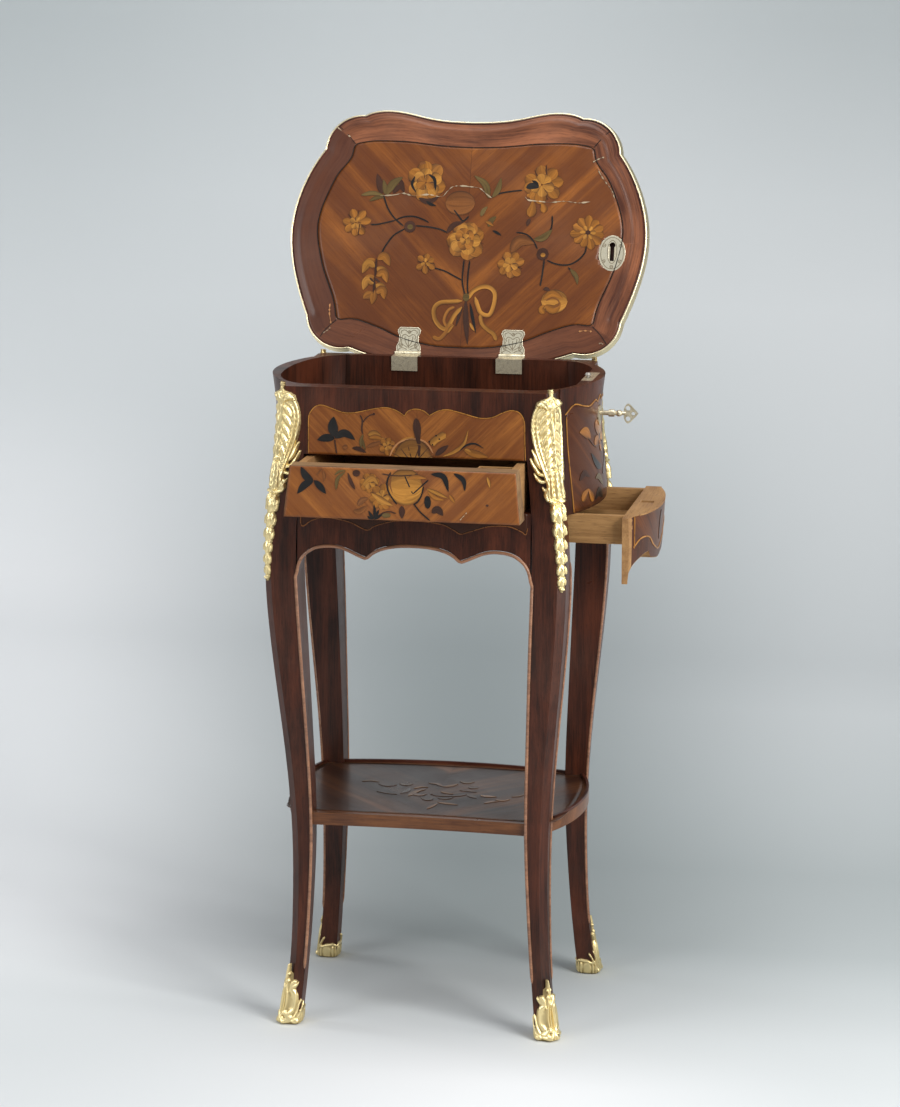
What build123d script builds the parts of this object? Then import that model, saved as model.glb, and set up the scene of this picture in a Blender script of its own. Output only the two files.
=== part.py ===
"""Poudreuse dressing table: a small table on four cabriole legs with a hinged lid over a well,
a drawer in the front, a lower drawer in the right end, one lock for lid and lower drawer, and a shelf.

Millimetres. +Z up, front faces -Y, +X is the right end with the lock. The pieces are drawn about
the middle of the carcass, and written about the middle of the whole table as it stands in use, on
the floor: lid open, both drawers part open, lock unlocked.
"""

from build123d import *
import os

os.makedirs("parts", exist_ok=True)

# ---------------------------------------------------------------- driving dimensions
# carcass; widths build up from the side of the front drawer outward
rim_z = 700.0  # floor to the top edge of the carcass
front_drawer_half_w = 116.0  # outside of the drawer's sides, from the centre line
leg_reach = 30.0  # from the drawer's side out to the corner of a front leg at the rim
corner_x = front_drawer_half_w + leg_reach
corner_y = 118.0  # outer corner of every leg at the rim, from the middle
back_splay = 10.5  # how much farther out the back legs stand on each side
end_bow = 32.5  # swell of the bowed ends at the rim, beyond the corner of a front leg
end_bow_x = corner_x + end_bow
end_hidden = 16.0  # how far the blocks of the ends reach in behind the legs
front_wall = 20.0  # thickness of the front at the rim
back_wall = 11.0  # thickness of the back at the rim
arris = 8.0  # width of the flat on the outer corner of each leg
joint_gap = 0.3  # clearance between pieces that slide or shut against each other
slide_gap = 0.7  # clearance above and below the face of the front drawer
beyond = 400.0  # farther than the table reaches any way, for prisms that cut it

# well under the lid
well_depth = 62.0
well_floor_t = 7.0
well_floor_z = rim_z - well_depth  # top of the well's floor
end_wall = 13.0  # thickness of the left end at its crown
lock_wall = 19.5  # thickness of the right end, flat inside to carry the lock
well_end_x = end_bow_x - end_wall
lock_wall_x = end_bow_x - lock_wall

# front drawer
front_drawer_headroom = 2.2  # under the well's floor
front_drawer_height = 52.6
front_drawer_top_z = well_floor_z - well_floor_t - front_drawer_headroom
front_drawer_bottom_z = front_drawer_top_z - front_drawer_height
dust_board_t = 7.0  # board between the two drawers
front_drawer_open = 64.0  # how far it stands out
front_drawer_face_t = 18.0
front_drawer_depth = 196.0  # from the back of the face to the back of the drawer
drawer_side_t = 8.0
drawer_bottom_t = 4.0
pins_per_corner = 3  # of the dovetails that join sides and back
pin_share = 0.42  # of each dovetail's height taken by its pin
pin_slope = 0.14
cell_w = 34.0  # small compartment at the right front of the front drawer
cell_d = 24.0
cell_t = 2.5

# lower drawer in the right end
end_drawer_headroom = 1.5  # under the dust board
end_drawer_side_h = 30.0
end_drawer_top_z = front_drawer_bottom_z - slide_gap - dust_board_t - end_drawer_headroom
end_drawer_box_bottom_z = end_drawer_top_z - end_drawer_side_h
end_drawer_open = 64.0
end_drawer_half_w = 80.0
end_drawer_face_half_w = 91.5
end_drawer_face_x = corner_x + 4.0  # inner face of its shaped front when shut
end_drawer_space = 10.0  # free length behind it when shut
end_drawer_length = end_drawer_face_x + corner_x - end_hidden - end_drawer_space
end_face_tuck = 4.5  # how far the deep points of its front draw in from the leg's curve

# boards and runners
runner_t = 6.5
guide_w = 10.0  # width of the strips beside the front drawer
end_panel_bottom_z = end_drawer_top_z + 0.5

# scalloped lower edges: heights at the legs, of the side arches, of the cusps and of the crown
spring_z = rim_z - 195.0
arch_z = spring_z + 31.0
cusp_z = spring_z + 19.0
crown_z = spring_z + 34.0
cusp_x = corner_x - 96.5  # of the front and back, from the centre line
arch_x = corner_x - 58.0
back_arch_x = arch_x + 6.0
back_cusp_x = cusp_x + 4.0
bead = 3.0  # width of the light bead under the scalloped edge
bead_proud = 0.8
end_point_z = spring_z - 8.0  # deep points of the lobed edge of the ends, at the legs
end_arch_z = spring_z + 17.0
end_arch_y = 64.0  # from the middle of the end
lobe_z = spring_z + 4.0
lobe_half_w = 38.0

# shelf
shelf_top_z = 236.5
shelf_t = 13.5
shelf_bow = 17.5  # swell of its ends beyond the corner of a front leg at the rim
shelf_half_w = corner_x + shelf_bow
shelf_back_y = 110.0
shelf_front_y = 110.5
shelf_hollow = 4.0  # how far the front edge of the shelf is hollowed
shelf_lip = 3.0  # height and width of the lip along the back and ends
lip_start_y = corner_y - 34.0  # how far forward of the middle the lip begins

# lid
lid_t = 12.0
lid_gap = 0.3
lid_open = 108.0  # degrees
hinge_y = 126.0  # hinge axis behind the middle
hinge_x = 58.5  # middle of each hinge, from the centre line
hinge_w = 29.0
lid_leaf_w = 27.0
leaf_t = 1.8
lid_leaf_l = 28.5
fixed_leaf_drop = 16.0  # how far the fixed leaf is bent down inside the well
knuckle_r = 2.6
pin_r = 1.2
moulding_w = 3.6
moulding_proud = 1.6  # how far the moulding stands above the lid

strike_half_w = 15.0  # oval strike plate let into the lid
strike_half_l = 20.5
strike_t = 1.6
strike_shift = 4.0  # its middle behind the middle of the lock
keyway_r = 4.8  # hole that the bolt's stud drops through
keyway_half_w = 2.3  # slot that the stud slides along
keyway_l = 22.0
keyway_spare = 3.2  # room in the lid's wood round the keyway
keyway_depth = 7.0

# lock
lock_x = lock_wall_x + 4.5
lock_y = 4.0
key_z = rim_z - 38.5
case_half_y = 25.0
case_x0 = lock_wall_x + 0.2
case_x1 = lock_wall_x + 10.0
case_bottom_z = rim_z - 59.0
selvedge_t = 2.0
case_wall = 1.2
bolt_w = 8.0
bolt_t = 3.0
bolt_throw = 8.0
bit_r = 8.5
shank_r = 2.5
collar_r = 3.9
face_x = end_bow_x - 4.5  # outside of the right end at the keyhole
bow_x = face_x + 31.0  # middle of the two lobes of the key's bow
bow_lobe_r = 5.6
bow_tip = 11.5  # from the lobes' middle to the point of the bow
bow_hole_r = 2.6
bow_half_t = 1.1

# gilt mounts
mount_t = 3.2
mount_tip = 32.0  # reach of the leaf tip over the front, from the outer face of the leg
mount_end_tip = 27.0  # the same over the end
mount_tip_z = rim_z - 66.0
sabot_t = 2.2
sabot_h = 62.0
sabot_low = 24.0
sabot_shoulder = 14.0  # width of its raised tongue, either side of the outer corner
sole_t = 5.0

# crown of the bowed ends down the height
BOW = [
    (end_bow_x, rim_z), (end_bow_x - 4.5, rim_z - 45), (end_bow_x - 2.0, rim_z - 85),
    (end_bow_x + 1.0, end_drawer_top_z), (end_bow_x - 2.0, rim_z - 165), (end_bow_x - 3.5, end_point_z - 7),
]

# right half of the lid's edge: distance from the centre line, distance forward of the hinge line
LID_FRONT = [(0.0, 261.0), (49.0, 264.7), (corner_x - 38.0, 272.0), (corner_x - 23.0, 267.0)]
LID_SHOULDER = [LID_FRONT[-1], (corner_x + 8.0, 255.5), (corner_x + 19.5, 229.0)]
LID_SIDE = [
    LID_SHOULDER[-1], (corner_x + 44.5, 182.0), (corner_x + 53.3, 135.0), (corner_x + 45.5, 84.0),
    (corner_x + 30.0, 41.0),
]
LID_HEEL = [LID_SIDE[-1], (corner_x + 16.0, 14.0), (corner_x - 19.0, 6.0)]
LID_BACK = [LID_HEEL[-1], (65.0, -11.0), (0.0, -17.0)]

# inner edge of a corner mount: width over the wood from the leg's outer face, height
MOUNT_PENDANT = [(0.5, rim_z - 200.0), (7.0, rim_z - 172.0), (10.0, rim_z - 114.0)]
MOUNT_LEAF = [MOUNT_PENDANT[-1], (15.0, rim_z - 98.0), (21.0, rim_z - 80.0)]
MOUNT_SHIELD = [(25.0, rim_z - 57.0), (28.0, rim_z - 28.0), (20.0, rim_z - 0.4)]

# ---------------------------------------------------------------- leg curves
# offsets from the outer corner at the rim, outward positive, down the height of the leg
OUTER = [
    (0.0, rim_z), (2.5, rim_z - 60), (9.0, rim_z - 120), (14.5, rim_z - 190), (12.5, rim_z - 250), (6.0, 375),
    (-1.5, 295), (-6.3, 210), (-6.0, 130), (-2.5, 60), (6.5, 0),
]
FRONT_INNER = [
    (-32.0, rim_z), (-28.5, rim_z - 60), (-21.5, rim_z - 130), (-22.5, rim_z - 250), (-25.3, 380),
    (-28.2, 300), (-29.8, 220), (-27.5, 150), (-23.5, 85), (-15.5, 0),
]
SIDE_INNER = [
    (-32.0, rim_z), (-29.0, rim_z - 60), (-25.0, rim_z - 130), (-24.5, rim_z - 250), (-25.8, 380),
    (-28.2, 300), (-29.8, 220), (-27.5, 150), (-23.5, 85), (-15.5, 0),
]

diagonal = Plane(origin=(0, 0, 0), x_dir=(1, -1, 0), z_dir=(-1, -1, 0))
outer_curve = Spline(*OUTER)


def outer_offset(z):
    """Outward offset of the leg's face at height z, read off the leg's outer curve."""
    low, high = 0.0, 1.0
    for _ in range(40):
        middle = (low + high) / 2
        if (outer_curve @ middle).Y > z:
            low = middle
        else:
            high = middle
    return (outer_curve @ low).X


def shifted(points, corner, side=1):
    """Offsets from the corner turned into places along one axis, on the side given by its sign."""
    return [(side * (corner + offset), z) for offset, z in points]


def band(outside, inside):
    """Face between two curves that run down the height, closed by straight ends."""
    first, second = Spline(*outside), Spline(*inside)
    top = Line(second @ 0, first @ 0)
    bottom = Line(first @ 1, second @ 1)
    return make_face(first + bottom + second + top)


def both_ways(face, plane):
    """Prism of a face through the whole table, across the given plane."""
    return extrude(plane * face, amount=beyond, both=True)


def slab(x0, x1, y0, y1, z0, z1):
    """Box between two corners."""
    return Pos((x0 + x1) / 2, (y0 + y1) / 2, (z0 + z1) / 2) * Box(abs(x1 - x0), abs(y1 - y0), abs(z1 - z0))


def front_skin(thickness, proud=0.0):
    """Prism across the width that follows the swelling face of the front, to the given depth."""
    outside = [(-(corner_y + offset + proud), z) for offset, z in OUTER]
    inside = [(-(corner_y + offset - thickness), z) for offset, z in OUTER]
    return both_ways(band(outside, inside), Plane.YZ)


# ---------------------------------------------------------------- legs
def leg_blank(growth=0.0, inward=0.0):
    """Right front leg sawn from two faces; growth thickens it outward and inward for its shoe."""
    front = band(
        shifted([(o + growth, z) for o, z in OUTER], corner_x),
        shifted([(o - inward, z) for o, z in FRONT_INNER], corner_x),
    )
    side = band(
        shifted([(o + growth, z) for o, z in OUTER], corner_y, -1),
        shifted([(o - inward, z) for o, z in SIDE_INNER], corner_y, -1),
    )
    edge = [((corner_x + corner_y + 2 * o - arris) / 2**0.5 + growth, z) for o, z in OUTER]
    cut = make_face(Spline(*edge) + Polyline(edge[-1], (0, 0), (0, rim_z), edge[0]))
    return both_ways(front, Plane.XZ) & both_ways(side, Plane.YZ) & both_ways(cut, diagonal)


def four(piece):
    """The same piece at the four corners: front right, front left, back right, back left."""
    back = Pos(back_splay, 0, 0) * mirror(piece, Plane.XZ)
    return {
        "front_right": piece,
        "front_left": mirror(piece, Plane.YZ),
        "back_right": back,
        "back_left": mirror(back, Plane.YZ),
    }


front_y = -(corner_y - front_wall)  # inner face of the upper front
apron_y = front_y - 6  # inner face of the apron
back_y = corner_y - back_wall  # inner face of the back


def well_prism(z0, z1, right_x):
    """The well's rounded outline as a prism; its right end is cut flat at right_x."""
    near = [(well_end_x - 52, front_y), (well_end_x - 29.5, front_y + 6), (well_end_x - 13, front_y + 28)]
    crown = [(well_end_x - 3, -corner_y / 3), (well_end_x, 0), (well_end_x - 3, corner_y / 3)]
    rear = [(well_end_x - 14, back_y - 30), (well_end_x - 29, back_y - 8), (well_end_x - 48, back_y)]
    right = Spline(*near, *crown, *rear)
    left = mirror(right, Plane.YZ)
    outline = make_face(right + left + Line(right @ 0, left @ 0) + Line(right @ 1, left @ 1))
    return extrude(Pos(0, 0, z0) * outline, amount=z1 - z0) & slab(-beyond, right_x, -beyond, beyond, z0, z1)


well = well_prism(well_floor_z - well_floor_t, rim_z + 5, lock_wall_x)
legs = four(leg_blank() & slab(0, beyond, -beyond, 0, sole_t, rim_z))
legs = {name: leg - well for name, leg in legs.items()}
all_legs = list(legs.values())


def less(piece, others):
    """A piece with others taken away, one after the other."""
    for other in others:
        piece = piece - other
    return piece


# ---------------------------------------------------------------- front and back
def closed_above(half, end, low, top, drop):
    """Face bounded by half an edge and its mirror image below, and by straight lines above."""
    edges = [Pos(0, -drop, 0) * edge for edge in half + [mirror(edge, Plane.YZ) for edge in half]]
    edges += Polyline((end, low - drop), (end, top), (-end, top), (-end, low - drop)).edges()
    return make_face(Curve() + edges)


def scallop_face(cusp, arch, end, top, drop=0.0):
    """Face above a scalloped lower edge with a middle arch, two cusps and two side arches."""
    crown = Spline((0, crown_z), (cusp * 0.5, crown_z - 2), (cusp, cusp_z), tangents=[(1, 0), (0.6, -0.8)])
    inner = Spline((cusp, cusp_z), (arch, arch_z), tangents=[(1, 0.25), (1, 0)])
    fall = (end - 5, arch_z - (arch_z - spring_z) * 0.42)
    outer = Spline((arch, arch_z), fall, (end, spring_z), tangents=[(1, 0), (0.05, -1)])
    return closed_above([crown, inner, outer], end, spring_z, top, drop)


def lobed_face(end, top, drop=0.0):
    """Face above the lower edge of an end: deep points at the legs, a lobe in the middle."""
    join = (lobe_half_w, end_arch_z)
    lobe = Spline((0, lobe_z), (lobe_half_w / 2, lobe_z + 2.5), join, tangents=[(1, 0), (0.3, 1)])
    side = Spline(join, (end_arch_y, end_arch_z - 2), (end, end_point_z), tangents=[(1, 0.1), (0.1, -1)])
    return closed_above([lobe, side], end, end_point_z, top, drop)


front_end = corner_x - 22.0  # end of the apron, hidden behind the leg
back_end = front_end + back_splay
apron_top = front_drawer_bottom_z - slide_gap
skin = front_skin(corner_y / 2)
skin_back = mirror(skin, Plane.XZ)

front_apron = both_ways(scallop_face(cusp_x, arch_x, front_end, apron_top), Plane.XZ)
front_apron = less(front_apron & skin & slab(-beyond, beyond, -beyond, apron_y, 0, rim_z), all_legs)

upper_front = skin & slab(-front_end, front_end, -beyond, front_y, front_drawer_top_z + slide_gap, rim_z)
upper_front = less(upper_front, [*all_legs, well])

back_panel = both_ways(scallop_face(back_cusp_x, back_arch_x, back_end, rim_z), Plane.XZ)
back_panel = less(back_panel & skin_back & slab(-beyond, beyond, back_y, beyond, 0, rim_z), [*all_legs, well])


def edge_bead(cusp, arch, end, flip):
    """Light bead under a scalloped edge, standing a little proud of the face."""
    strip = scallop_face(cusp, arch, end, apron_top, bead) - scallop_face(cusp, arch, end, apron_top + 1)
    cover = front_skin(8, bead_proud)
    cover = mirror(cover, Plane.XZ) if flip else cover
    return less(both_ways(strip, Plane.XZ) & cover, all_legs)


front_bead = edge_bead(cusp_x, arch_x, front_end, False)
back_bead = edge_bead(back_cusp_x, back_arch_x, back_end, True)

# ---------------------------------------------------------------- bowed ends
def end_section(crown_x, z, tuck=0.0):
    """Cross-section of the right end at height z: straight beside the legs, bowed between."""
    near = corner_x + outer_offset(z) - tuck
    far = near + back_splay
    stop = corner_y - 30
    reach = corner_y - 24
    inner = corner_x - end_hidden
    hidden = [(near, -reach), (inner, -reach), (inner, reach), (far, reach)]
    outline = Polyline((near, -stop), *hidden, (far, stop))
    bow = ThreePointArc((near, -stop), (crown_x, 0), (far, stop))
    return Pos(0, 0, z) * make_face(outline + bow)


end_block = loft([end_section(x, z) for x, z in BOW])
bore = well_prism(0, rim_z + 5, lock_wall_x)
end_edge = both_ways(lobed_face(corner_y - 20, rim_z), Plane.YZ)
between_legs = both_ways(band(shifted(SIDE_INNER, corner_y, -1), shifted(SIDE_INNER, corner_y)), Plane.YZ)
panel = end_block & between_legs
left_end = (mirror(panel, Plane.YZ) & end_edge) - bore
right_end = (panel & slab(0, beyond, -beyond, beyond, end_panel_bottom_z, rim_z)) - bore

# ---------------------------------------------------------------- boards, guides and runners
well_floor = well_prism(well_floor_z - well_floor_t, well_floor_z, lock_wall_x)

board_top = apron_top
board_low = board_top - dust_board_t
dust_board = well_prism(board_low, board_top, lock_wall_x)
dust_board = dust_board + slab(-front_end + 4, front_end - 4, apron_y, front_y, board_low, board_top)
dust_board = less(dust_board, all_legs)

guide_x = front_drawer_half_w + joint_gap
guides = {}
for side, sign in (("left", -1), ("right", 1)):
    faces = (sign * guide_x, sign * (guide_x + guide_w))
    strip = slab(*faces, front_y + 8, back_y, board_top, well_floor_z - well_floor_t)
    guides[side] = less(strip, all_legs)


def end_runner(y_wall, sign):
    """Rail with a ledge under one side of the lower drawer, fixed along the front or the back."""
    ledge_top = end_drawer_box_bottom_z - joint_gap
    inner = sign * (end_drawer_half_w - drawer_side_t)
    guide = sign * (end_drawer_half_w + joint_gap)
    reach = front_end - 4
    ledge = slab(-reach, reach, min(y_wall, inner), max(y_wall, inner), ledge_top - runner_t, ledge_top)
    return ledge + slab(-reach, reach, min(y_wall, guide), max(y_wall, guide), ledge_top, board_low)


front_runner = end_runner(apron_y, -1)
back_runner = end_runner(back_y, 1)

# ---------------------------------------------------------------- front drawer
def dovetail_pins(half_w, length, z0, z1):
    """Pins at both ends of a drawer's back: they narrow towards its outer face and run through the sides."""
    step = (z1 - z0) / pins_per_corner
    pins = []
    for index in range(pins_per_corner):
        z = z0 + (index + 0.5) * step
        wide, thin = step * pin_share / 2, step * pin_share / 2 - drawer_side_t * pin_slope
        y = (length - drawer_side_t, length)
        outline = Polyline((y[0], z - wide), (y[1], z - thin), (y[1], z + thin), (y[0], z + wide), close=True)
        pin = extrude(Plane.YZ * make_face(outline), amount=drawer_side_t)
        pins += [Pos(half_w - drawer_side_t, 0, 0) * pin, Pos(-half_w, 0, 0) * pin]
    return pins


def drawer_box(length, half_w, z0, z1):
    """Sides, dovetailed back and bottom of a drawer that opens along -Y, its face's back at y = 0."""
    sides = {
        "left_side": slab(-half_w, -half_w + drawer_side_t, 0, length, z0, z1),
        "right_side": slab(half_w - drawer_side_t, half_w, 0, length, z0, z1),
    }
    inner = half_w - drawer_side_t
    back_z = z0 + drawer_bottom_t + 2
    back = slab(-inner, inner, length - drawer_side_t, length, back_z, z1)
    for pin in dovetail_pins(half_w, length, back_z, z1):
        back = back + pin
        sides = {name: side - pin for name, side in sides.items()}
    floor = slab(-inner, inner, 0, length, z0 + 2, z0 + 2 + drawer_bottom_t)
    return sides | {"back": back, "bottom": floor}


face_gap = slab(-beyond, beyond, -beyond, 0, front_drawer_bottom_z, front_drawer_top_z)
leg_clear = 0.6
front_face = skin & face_gap & slab(-beyond, beyond, -beyond, -(corner_y - front_drawer_face_t), 0, rim_z)
opening = band(
    shifted([(o - leg_clear, z) for o, z in FRONT_INNER], corner_x),
    shifted([(o - leg_clear, z) for o, z in FRONT_INNER], corner_x, -1),
)
front_face = front_face & both_ways(opening, Plane.XZ)
face_back_y = -(corner_y - front_drawer_face_t)
box_low = front_drawer_bottom_z + 0.3
box = drawer_box(front_drawer_depth, front_drawer_half_w, box_low, front_drawer_top_z - 2)
front_drawer = {name: Pos(0, face_back_y, 0) * piece for name, piece in box.items()}
front_drawer["face"] = front_face
cell_x = front_drawer_half_w - drawer_side_t - cell_w
floor_top = box_low + 2 + drawer_bottom_t
cell_top = front_drawer_top_z - 3
cell_back_y = face_back_y + cell_d
divider = slab(cell_x - cell_t, cell_x, face_back_y, cell_back_y + cell_t, floor_top, cell_top)
cross = slab(cell_x, cell_x + cell_w, cell_back_y, cell_back_y + cell_t, floor_top, cell_top)
front_drawer["cell_divider"] = divider
front_drawer["cell_back"] = cross
front_drawer = {name: Pos(0, -front_drawer_open, 0) * piece for name, piece in front_drawer.items()}

# ---------------------------------------------------------------- lower drawer in the right end
depth = end_drawer_top_z - end_point_z
tucked = [(x, z, end_face_tuck * (end_drawer_top_z - z) / depth) for x, z in BOW[3:]]
end_face = loft([end_section(*section) for section in tucked])
end_face = end_face & both_ways(lobed_face(end_drawer_face_half_w, end_drawer_top_z), Plane.YZ)
end_face = end_face & slab(end_drawer_face_x, beyond, -beyond, beyond, 0, rim_z)
pocket = slab(lock_x - 7, lock_x + 7, lock_y - 5, lock_y + 5, end_drawer_top_z - 11, rim_z)
end_face = end_face - pocket
box = drawer_box(end_drawer_length, end_drawer_half_w, end_drawer_box_bottom_z, end_drawer_top_z)
turn = Pos(end_drawer_face_x, 0, 0) * Rot(0, 0, 90)
end_names = {"left_side": "front_side", "right_side": "rear_side", "back": "back", "bottom": "bottom"}
end_drawer = {end_names[name]: turn * piece for name, piece in box.items()}
end_drawer["face"] = end_face
end_drawer = {name: Pos(end_drawer_open, 0, 0) * piece for name, piece in end_drawer.items()}

# ---------------------------------------------------------------- shelf
leg_at_shelf = corner_x + outer_offset(shelf_top_z)
notch = 22.0
front_tip = (leg_at_shelf - notch, -shelf_front_y)
near_tip = (leg_at_shelf - 1, -(corner_y + outer_offset(shelf_top_z) - notch))
far_tip = (near_tip[0] + back_splay - 3, -near_tip[1])
back_tip = (front_tip[0] + back_splay, shelf_back_y - 14)
edges = [
    ThreePointArc((-front_tip[0], front_tip[1]), (0, front_tip[1] + shelf_hollow), front_tip),
    ThreePointArc((-back_tip[0], back_tip[1]), (0, shelf_back_y), back_tip),
]
end = [ThreePointArc(near_tip, (shelf_half_w, 0), far_tip)]
end += [Line(front_tip, near_tip), Line(far_tip, back_tip)]
edges += end + [mirror(edge, Plane.YZ) for edge in end]
shelf_outline = make_face(Curve() + edges)
shelf = less(extrude(Pos(0, 0, shelf_top_z - shelf_t) * shelf_outline, amount=shelf_t), all_legs)
lip = extrude(Pos(0, 0, shelf_top_z) * (shelf_outline - offset(shelf_outline, -shelf_lip)), amount=shelf_lip)
lip = less(lip & slab(-beyond, beyond, -lip_start_y, beyond, 0, rim_z), all_legs)

# ---------------------------------------------------------------- lid, drawn shut and then opened
lid_z = rim_z + lid_gap


def on_lid(points):
    """Points of the lid's edge set behind or before the hinge line."""
    return [(x, hinge_y - forward) for x, forward in points]


half = [
    Spline(*on_lid(LID_FRONT), tangents=[(1, 0), (0.8, 0.6)]),
    ThreePointArc(*on_lid(LID_SHOULDER)),
    Spline(*on_lid(LID_SIDE)),
    ThreePointArc(*on_lid(LID_HEEL)),
    ThreePointArc(*on_lid(LID_BACK)),
]
lid_outline = make_face(Curve() + half + [mirror(edge, Plane.YZ) for edge in half])
lid_panel = extrude(Pos(0, 0, lid_z) * lid_outline, amount=lid_t)
lid_size = lid_outline.bounding_box().size
lid_middle = Pos(lid_outline.bounding_box().center())
growth = (1 + 2 * moulding_w / lid_size.X, 1 + 2 * moulding_w / lid_size.Y, 1)
grown = lid_middle * scale(lid_middle.inverse() * lid_outline, by=growth)
moulding = extrude(Pos(0, 0, lid_z + 0.7) * grown, amount=lid_t + moulding_proud - 0.7)
moulding = moulding - extrude(Pos(0, 0, lid_z) * lid_outline, amount=2 * lid_t)

axis_z = rim_z + lid_gap / 2
slot_w = hinge_w / 2 + 0.5
slot_r = knuckle_r + 0.5
hinge_slots = [
    slab(x - slot_w, x + slot_w, hinge_y - slot_r, beyond, 0, axis_z + slot_r) for x in (-hinge_x, hinge_x)
]


def barrel(x0, x1, radius):
    """Cylinder along the hinge axis from x0 to x1."""
    return Pos((x0 + x1) / 2, hinge_y, axis_z) * Rot(0, 90, 0) * Cylinder(radius, x1 - x0)


def hinge(x):
    """Lid leaf, fixed leaf and pin of one hinge, all shut."""
    third = hinge_w / 3
    middle = barrel(x - third / 2, x + third / 2, knuckle_r)
    outer = barrel(x - hinge_w / 2, x - third / 2 - 0.2, knuckle_r)
    outer += barrel(x + third / 2 + 0.2, x + hinge_w / 2, knuckle_r)
    half_leaf = lid_leaf_w / 2
    waist = 3.0
    y1, y0 = hinge_y - 1.0, hinge_y - lid_leaf_l
    ym = (y0 + y1) / 2
    leaf = make_face(
        ThreePointArc((x - half_leaf, y0), (x - half_leaf + waist, ym), (x - half_leaf, y1 - 3))
        + Line((x - half_leaf, y1 - 3), (x - third / 2, y1 - 3))
        + Line((x - third / 2, y1 - 3), (x - third / 2, y1))
        + Line((x - third / 2, y1), (x + third / 2, y1))
        + Line((x + third / 2, y1), (x + third / 2, y1 - 3))
        + Line((x + third / 2, y1 - 3), (x + half_leaf, y1 - 3))
        + ThreePointArc((x + half_leaf, y1 - 3), (x + half_leaf - waist, ym), (x + half_leaf, y0))
        + Line((x + half_leaf, y0), (x - half_leaf, y0))
    )
    lid_leaf = extrude(Pos(0, 0, lid_z) * leaf, amount=leaf_t) + middle
    lid_leaf = lid_leaf - barrel(x - 40, x + 40, pin_r + 0.06)
    span = (x - hinge_w / 2, x + hinge_w / 2)
    flat = slab(*span, back_y - leaf_t, hinge_y - 1, rim_z - leaf_t, rim_z)
    gap = (x - third / 2 - 0.2, x + third / 2 + 0.2)
    flat = flat - slab(*gap, hinge_y - knuckle_r - 0.4, beyond, 0, beyond * 3)
    bent = slab(*span, back_y - leaf_t, back_y, rim_z - fixed_leaf_drop, rim_z)
    fixed_leaf = flat + bent + outer - barrel(x - 40, x + 40, pin_r)
    return lid_leaf, fixed_leaf, barrel(*span, pin_r)


hinges = {"left": hinge(-hinge_x), "right": hinge(hinge_x)}
for lid_leaf, fixed_leaf, pin in hinges.values():
    lid_panel = lid_panel - lid_leaf
    back_panel = back_panel - fixed_leaf
lid_panel = less(lid_panel, hinge_slots)
moulding = less(moulding, hinge_slots)

stud_y = lock_y - 7.3  # where the bolt's stud stands when the lock is open
oval = Ellipse(strike_half_w, strike_half_l)
plate = Pos(lock_x, lock_y + strike_shift, lid_z) * extrude(oval, amount=strike_t)
keyway = Pos(lock_x, stud_y, lid_z - 1) * extrude(Circle(keyway_r), amount=keyway_depth)
keyway += Pos(lock_x, stud_y, lid_z - 1) * extrude(
    Pos(0, keyway_l / 2) * Rectangle(2 * keyway_half_w, keyway_l), amount=keyway_depth
)
strike_plate = plate - keyway
room = keyway_half_w + keyway_spare
lid_panel = lid_panel - plate - slab(
    lock_x - room, lock_x + room, stud_y - keyway_r - 1, stud_y + keyway_l + 1, lid_z, lid_z + keyway_depth
)

hinge_axis = Axis((0, hinge_y, axis_z), (1, 0, 0))
lid = {"panel": lid_panel, "moulding": moulding, "strike_plate": strike_plate}
lid |= {f"{side}_hinge_leaf": leaves[0] for side, leaves in hinges.items()}
lid = {name: piece.rotate(hinge_axis, -lid_open) for name, piece in lid.items()}

# ---------------------------------------------------------------- lock
case_y0, case_y1 = lock_y - case_half_y, lock_y + case_half_y
case_top = rim_z - selvedge_t
case_block = slab(case_x0, case_x1, case_y0, case_y1, case_bottom_z, case_top)
hollow = slab(
    case_x0 + case_wall, case_x1 - case_wall, case_y0 + case_wall, case_y1 - case_wall,
    case_bottom_z + case_wall, case_top - case_wall,
)
selvedge = slab(lock_wall_x, case_x1 + 2, case_y0 - 3, case_y1 + 3, case_top, rim_z)
stud_slot = slab(lock_x - 1.9, lock_x + 1.9, stud_y - 2.2, stud_y + bolt_throw + 2.2, case_top - 5, rim_z + 1)
slot_x, slot_y = bolt_t / 2 + joint_gap, bolt_w / 2 + joint_gap
bolt_slot = slab(
    lock_x - slot_x, lock_x + slot_x, lock_y - slot_y, lock_y + slot_y,
    end_panel_bottom_z - 1, case_bottom_z + case_wall + 1,
)
keyhole = Pos(face_x + 6, lock_y, key_z) * Rot(0, 90, 0) * Cylinder(shank_r + 0.6, 30)
keyhole = keyhole + slab(lock_x + 1.5, bow_x, lock_y - 1.5, lock_y + 1.5, key_z - bit_r - 0.6, key_z)
lock_case = case_block - hollow - stud_slot - bolt_slot - keyhole
selvedge = selvedge - stud_slot
right_end = less(right_end, [case_block, selvedge + stud_slot, bolt_slot, keyhole])

lid_bolt_z = key_z + bit_r + 2
bolt_x = (lock_x - bolt_t / 2, lock_x + bolt_t / 2)
lid_bolt = slab(*bolt_x, stud_y - 12, stud_y + 12, lid_bolt_z, lid_bolt_z + 6)
stud_top = lid_z + 2.6
lid_bolt = lid_bolt + Pos(lock_x, stud_y, (lid_bolt_z + stud_top) / 2) * Cylinder(1.6, stud_top - lid_bolt_z)
lid_bolt = lid_bolt + Pos(lock_x, stud_y, stud_top + 1.2) * Cone(3.4, 2.2, 2.4)
drawer_bolt = slab(
    *bolt_x, lock_y - bolt_w / 2, lock_y + bolt_w / 2, end_panel_bottom_z + 0.5, key_z - bit_r - 2
)

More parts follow.
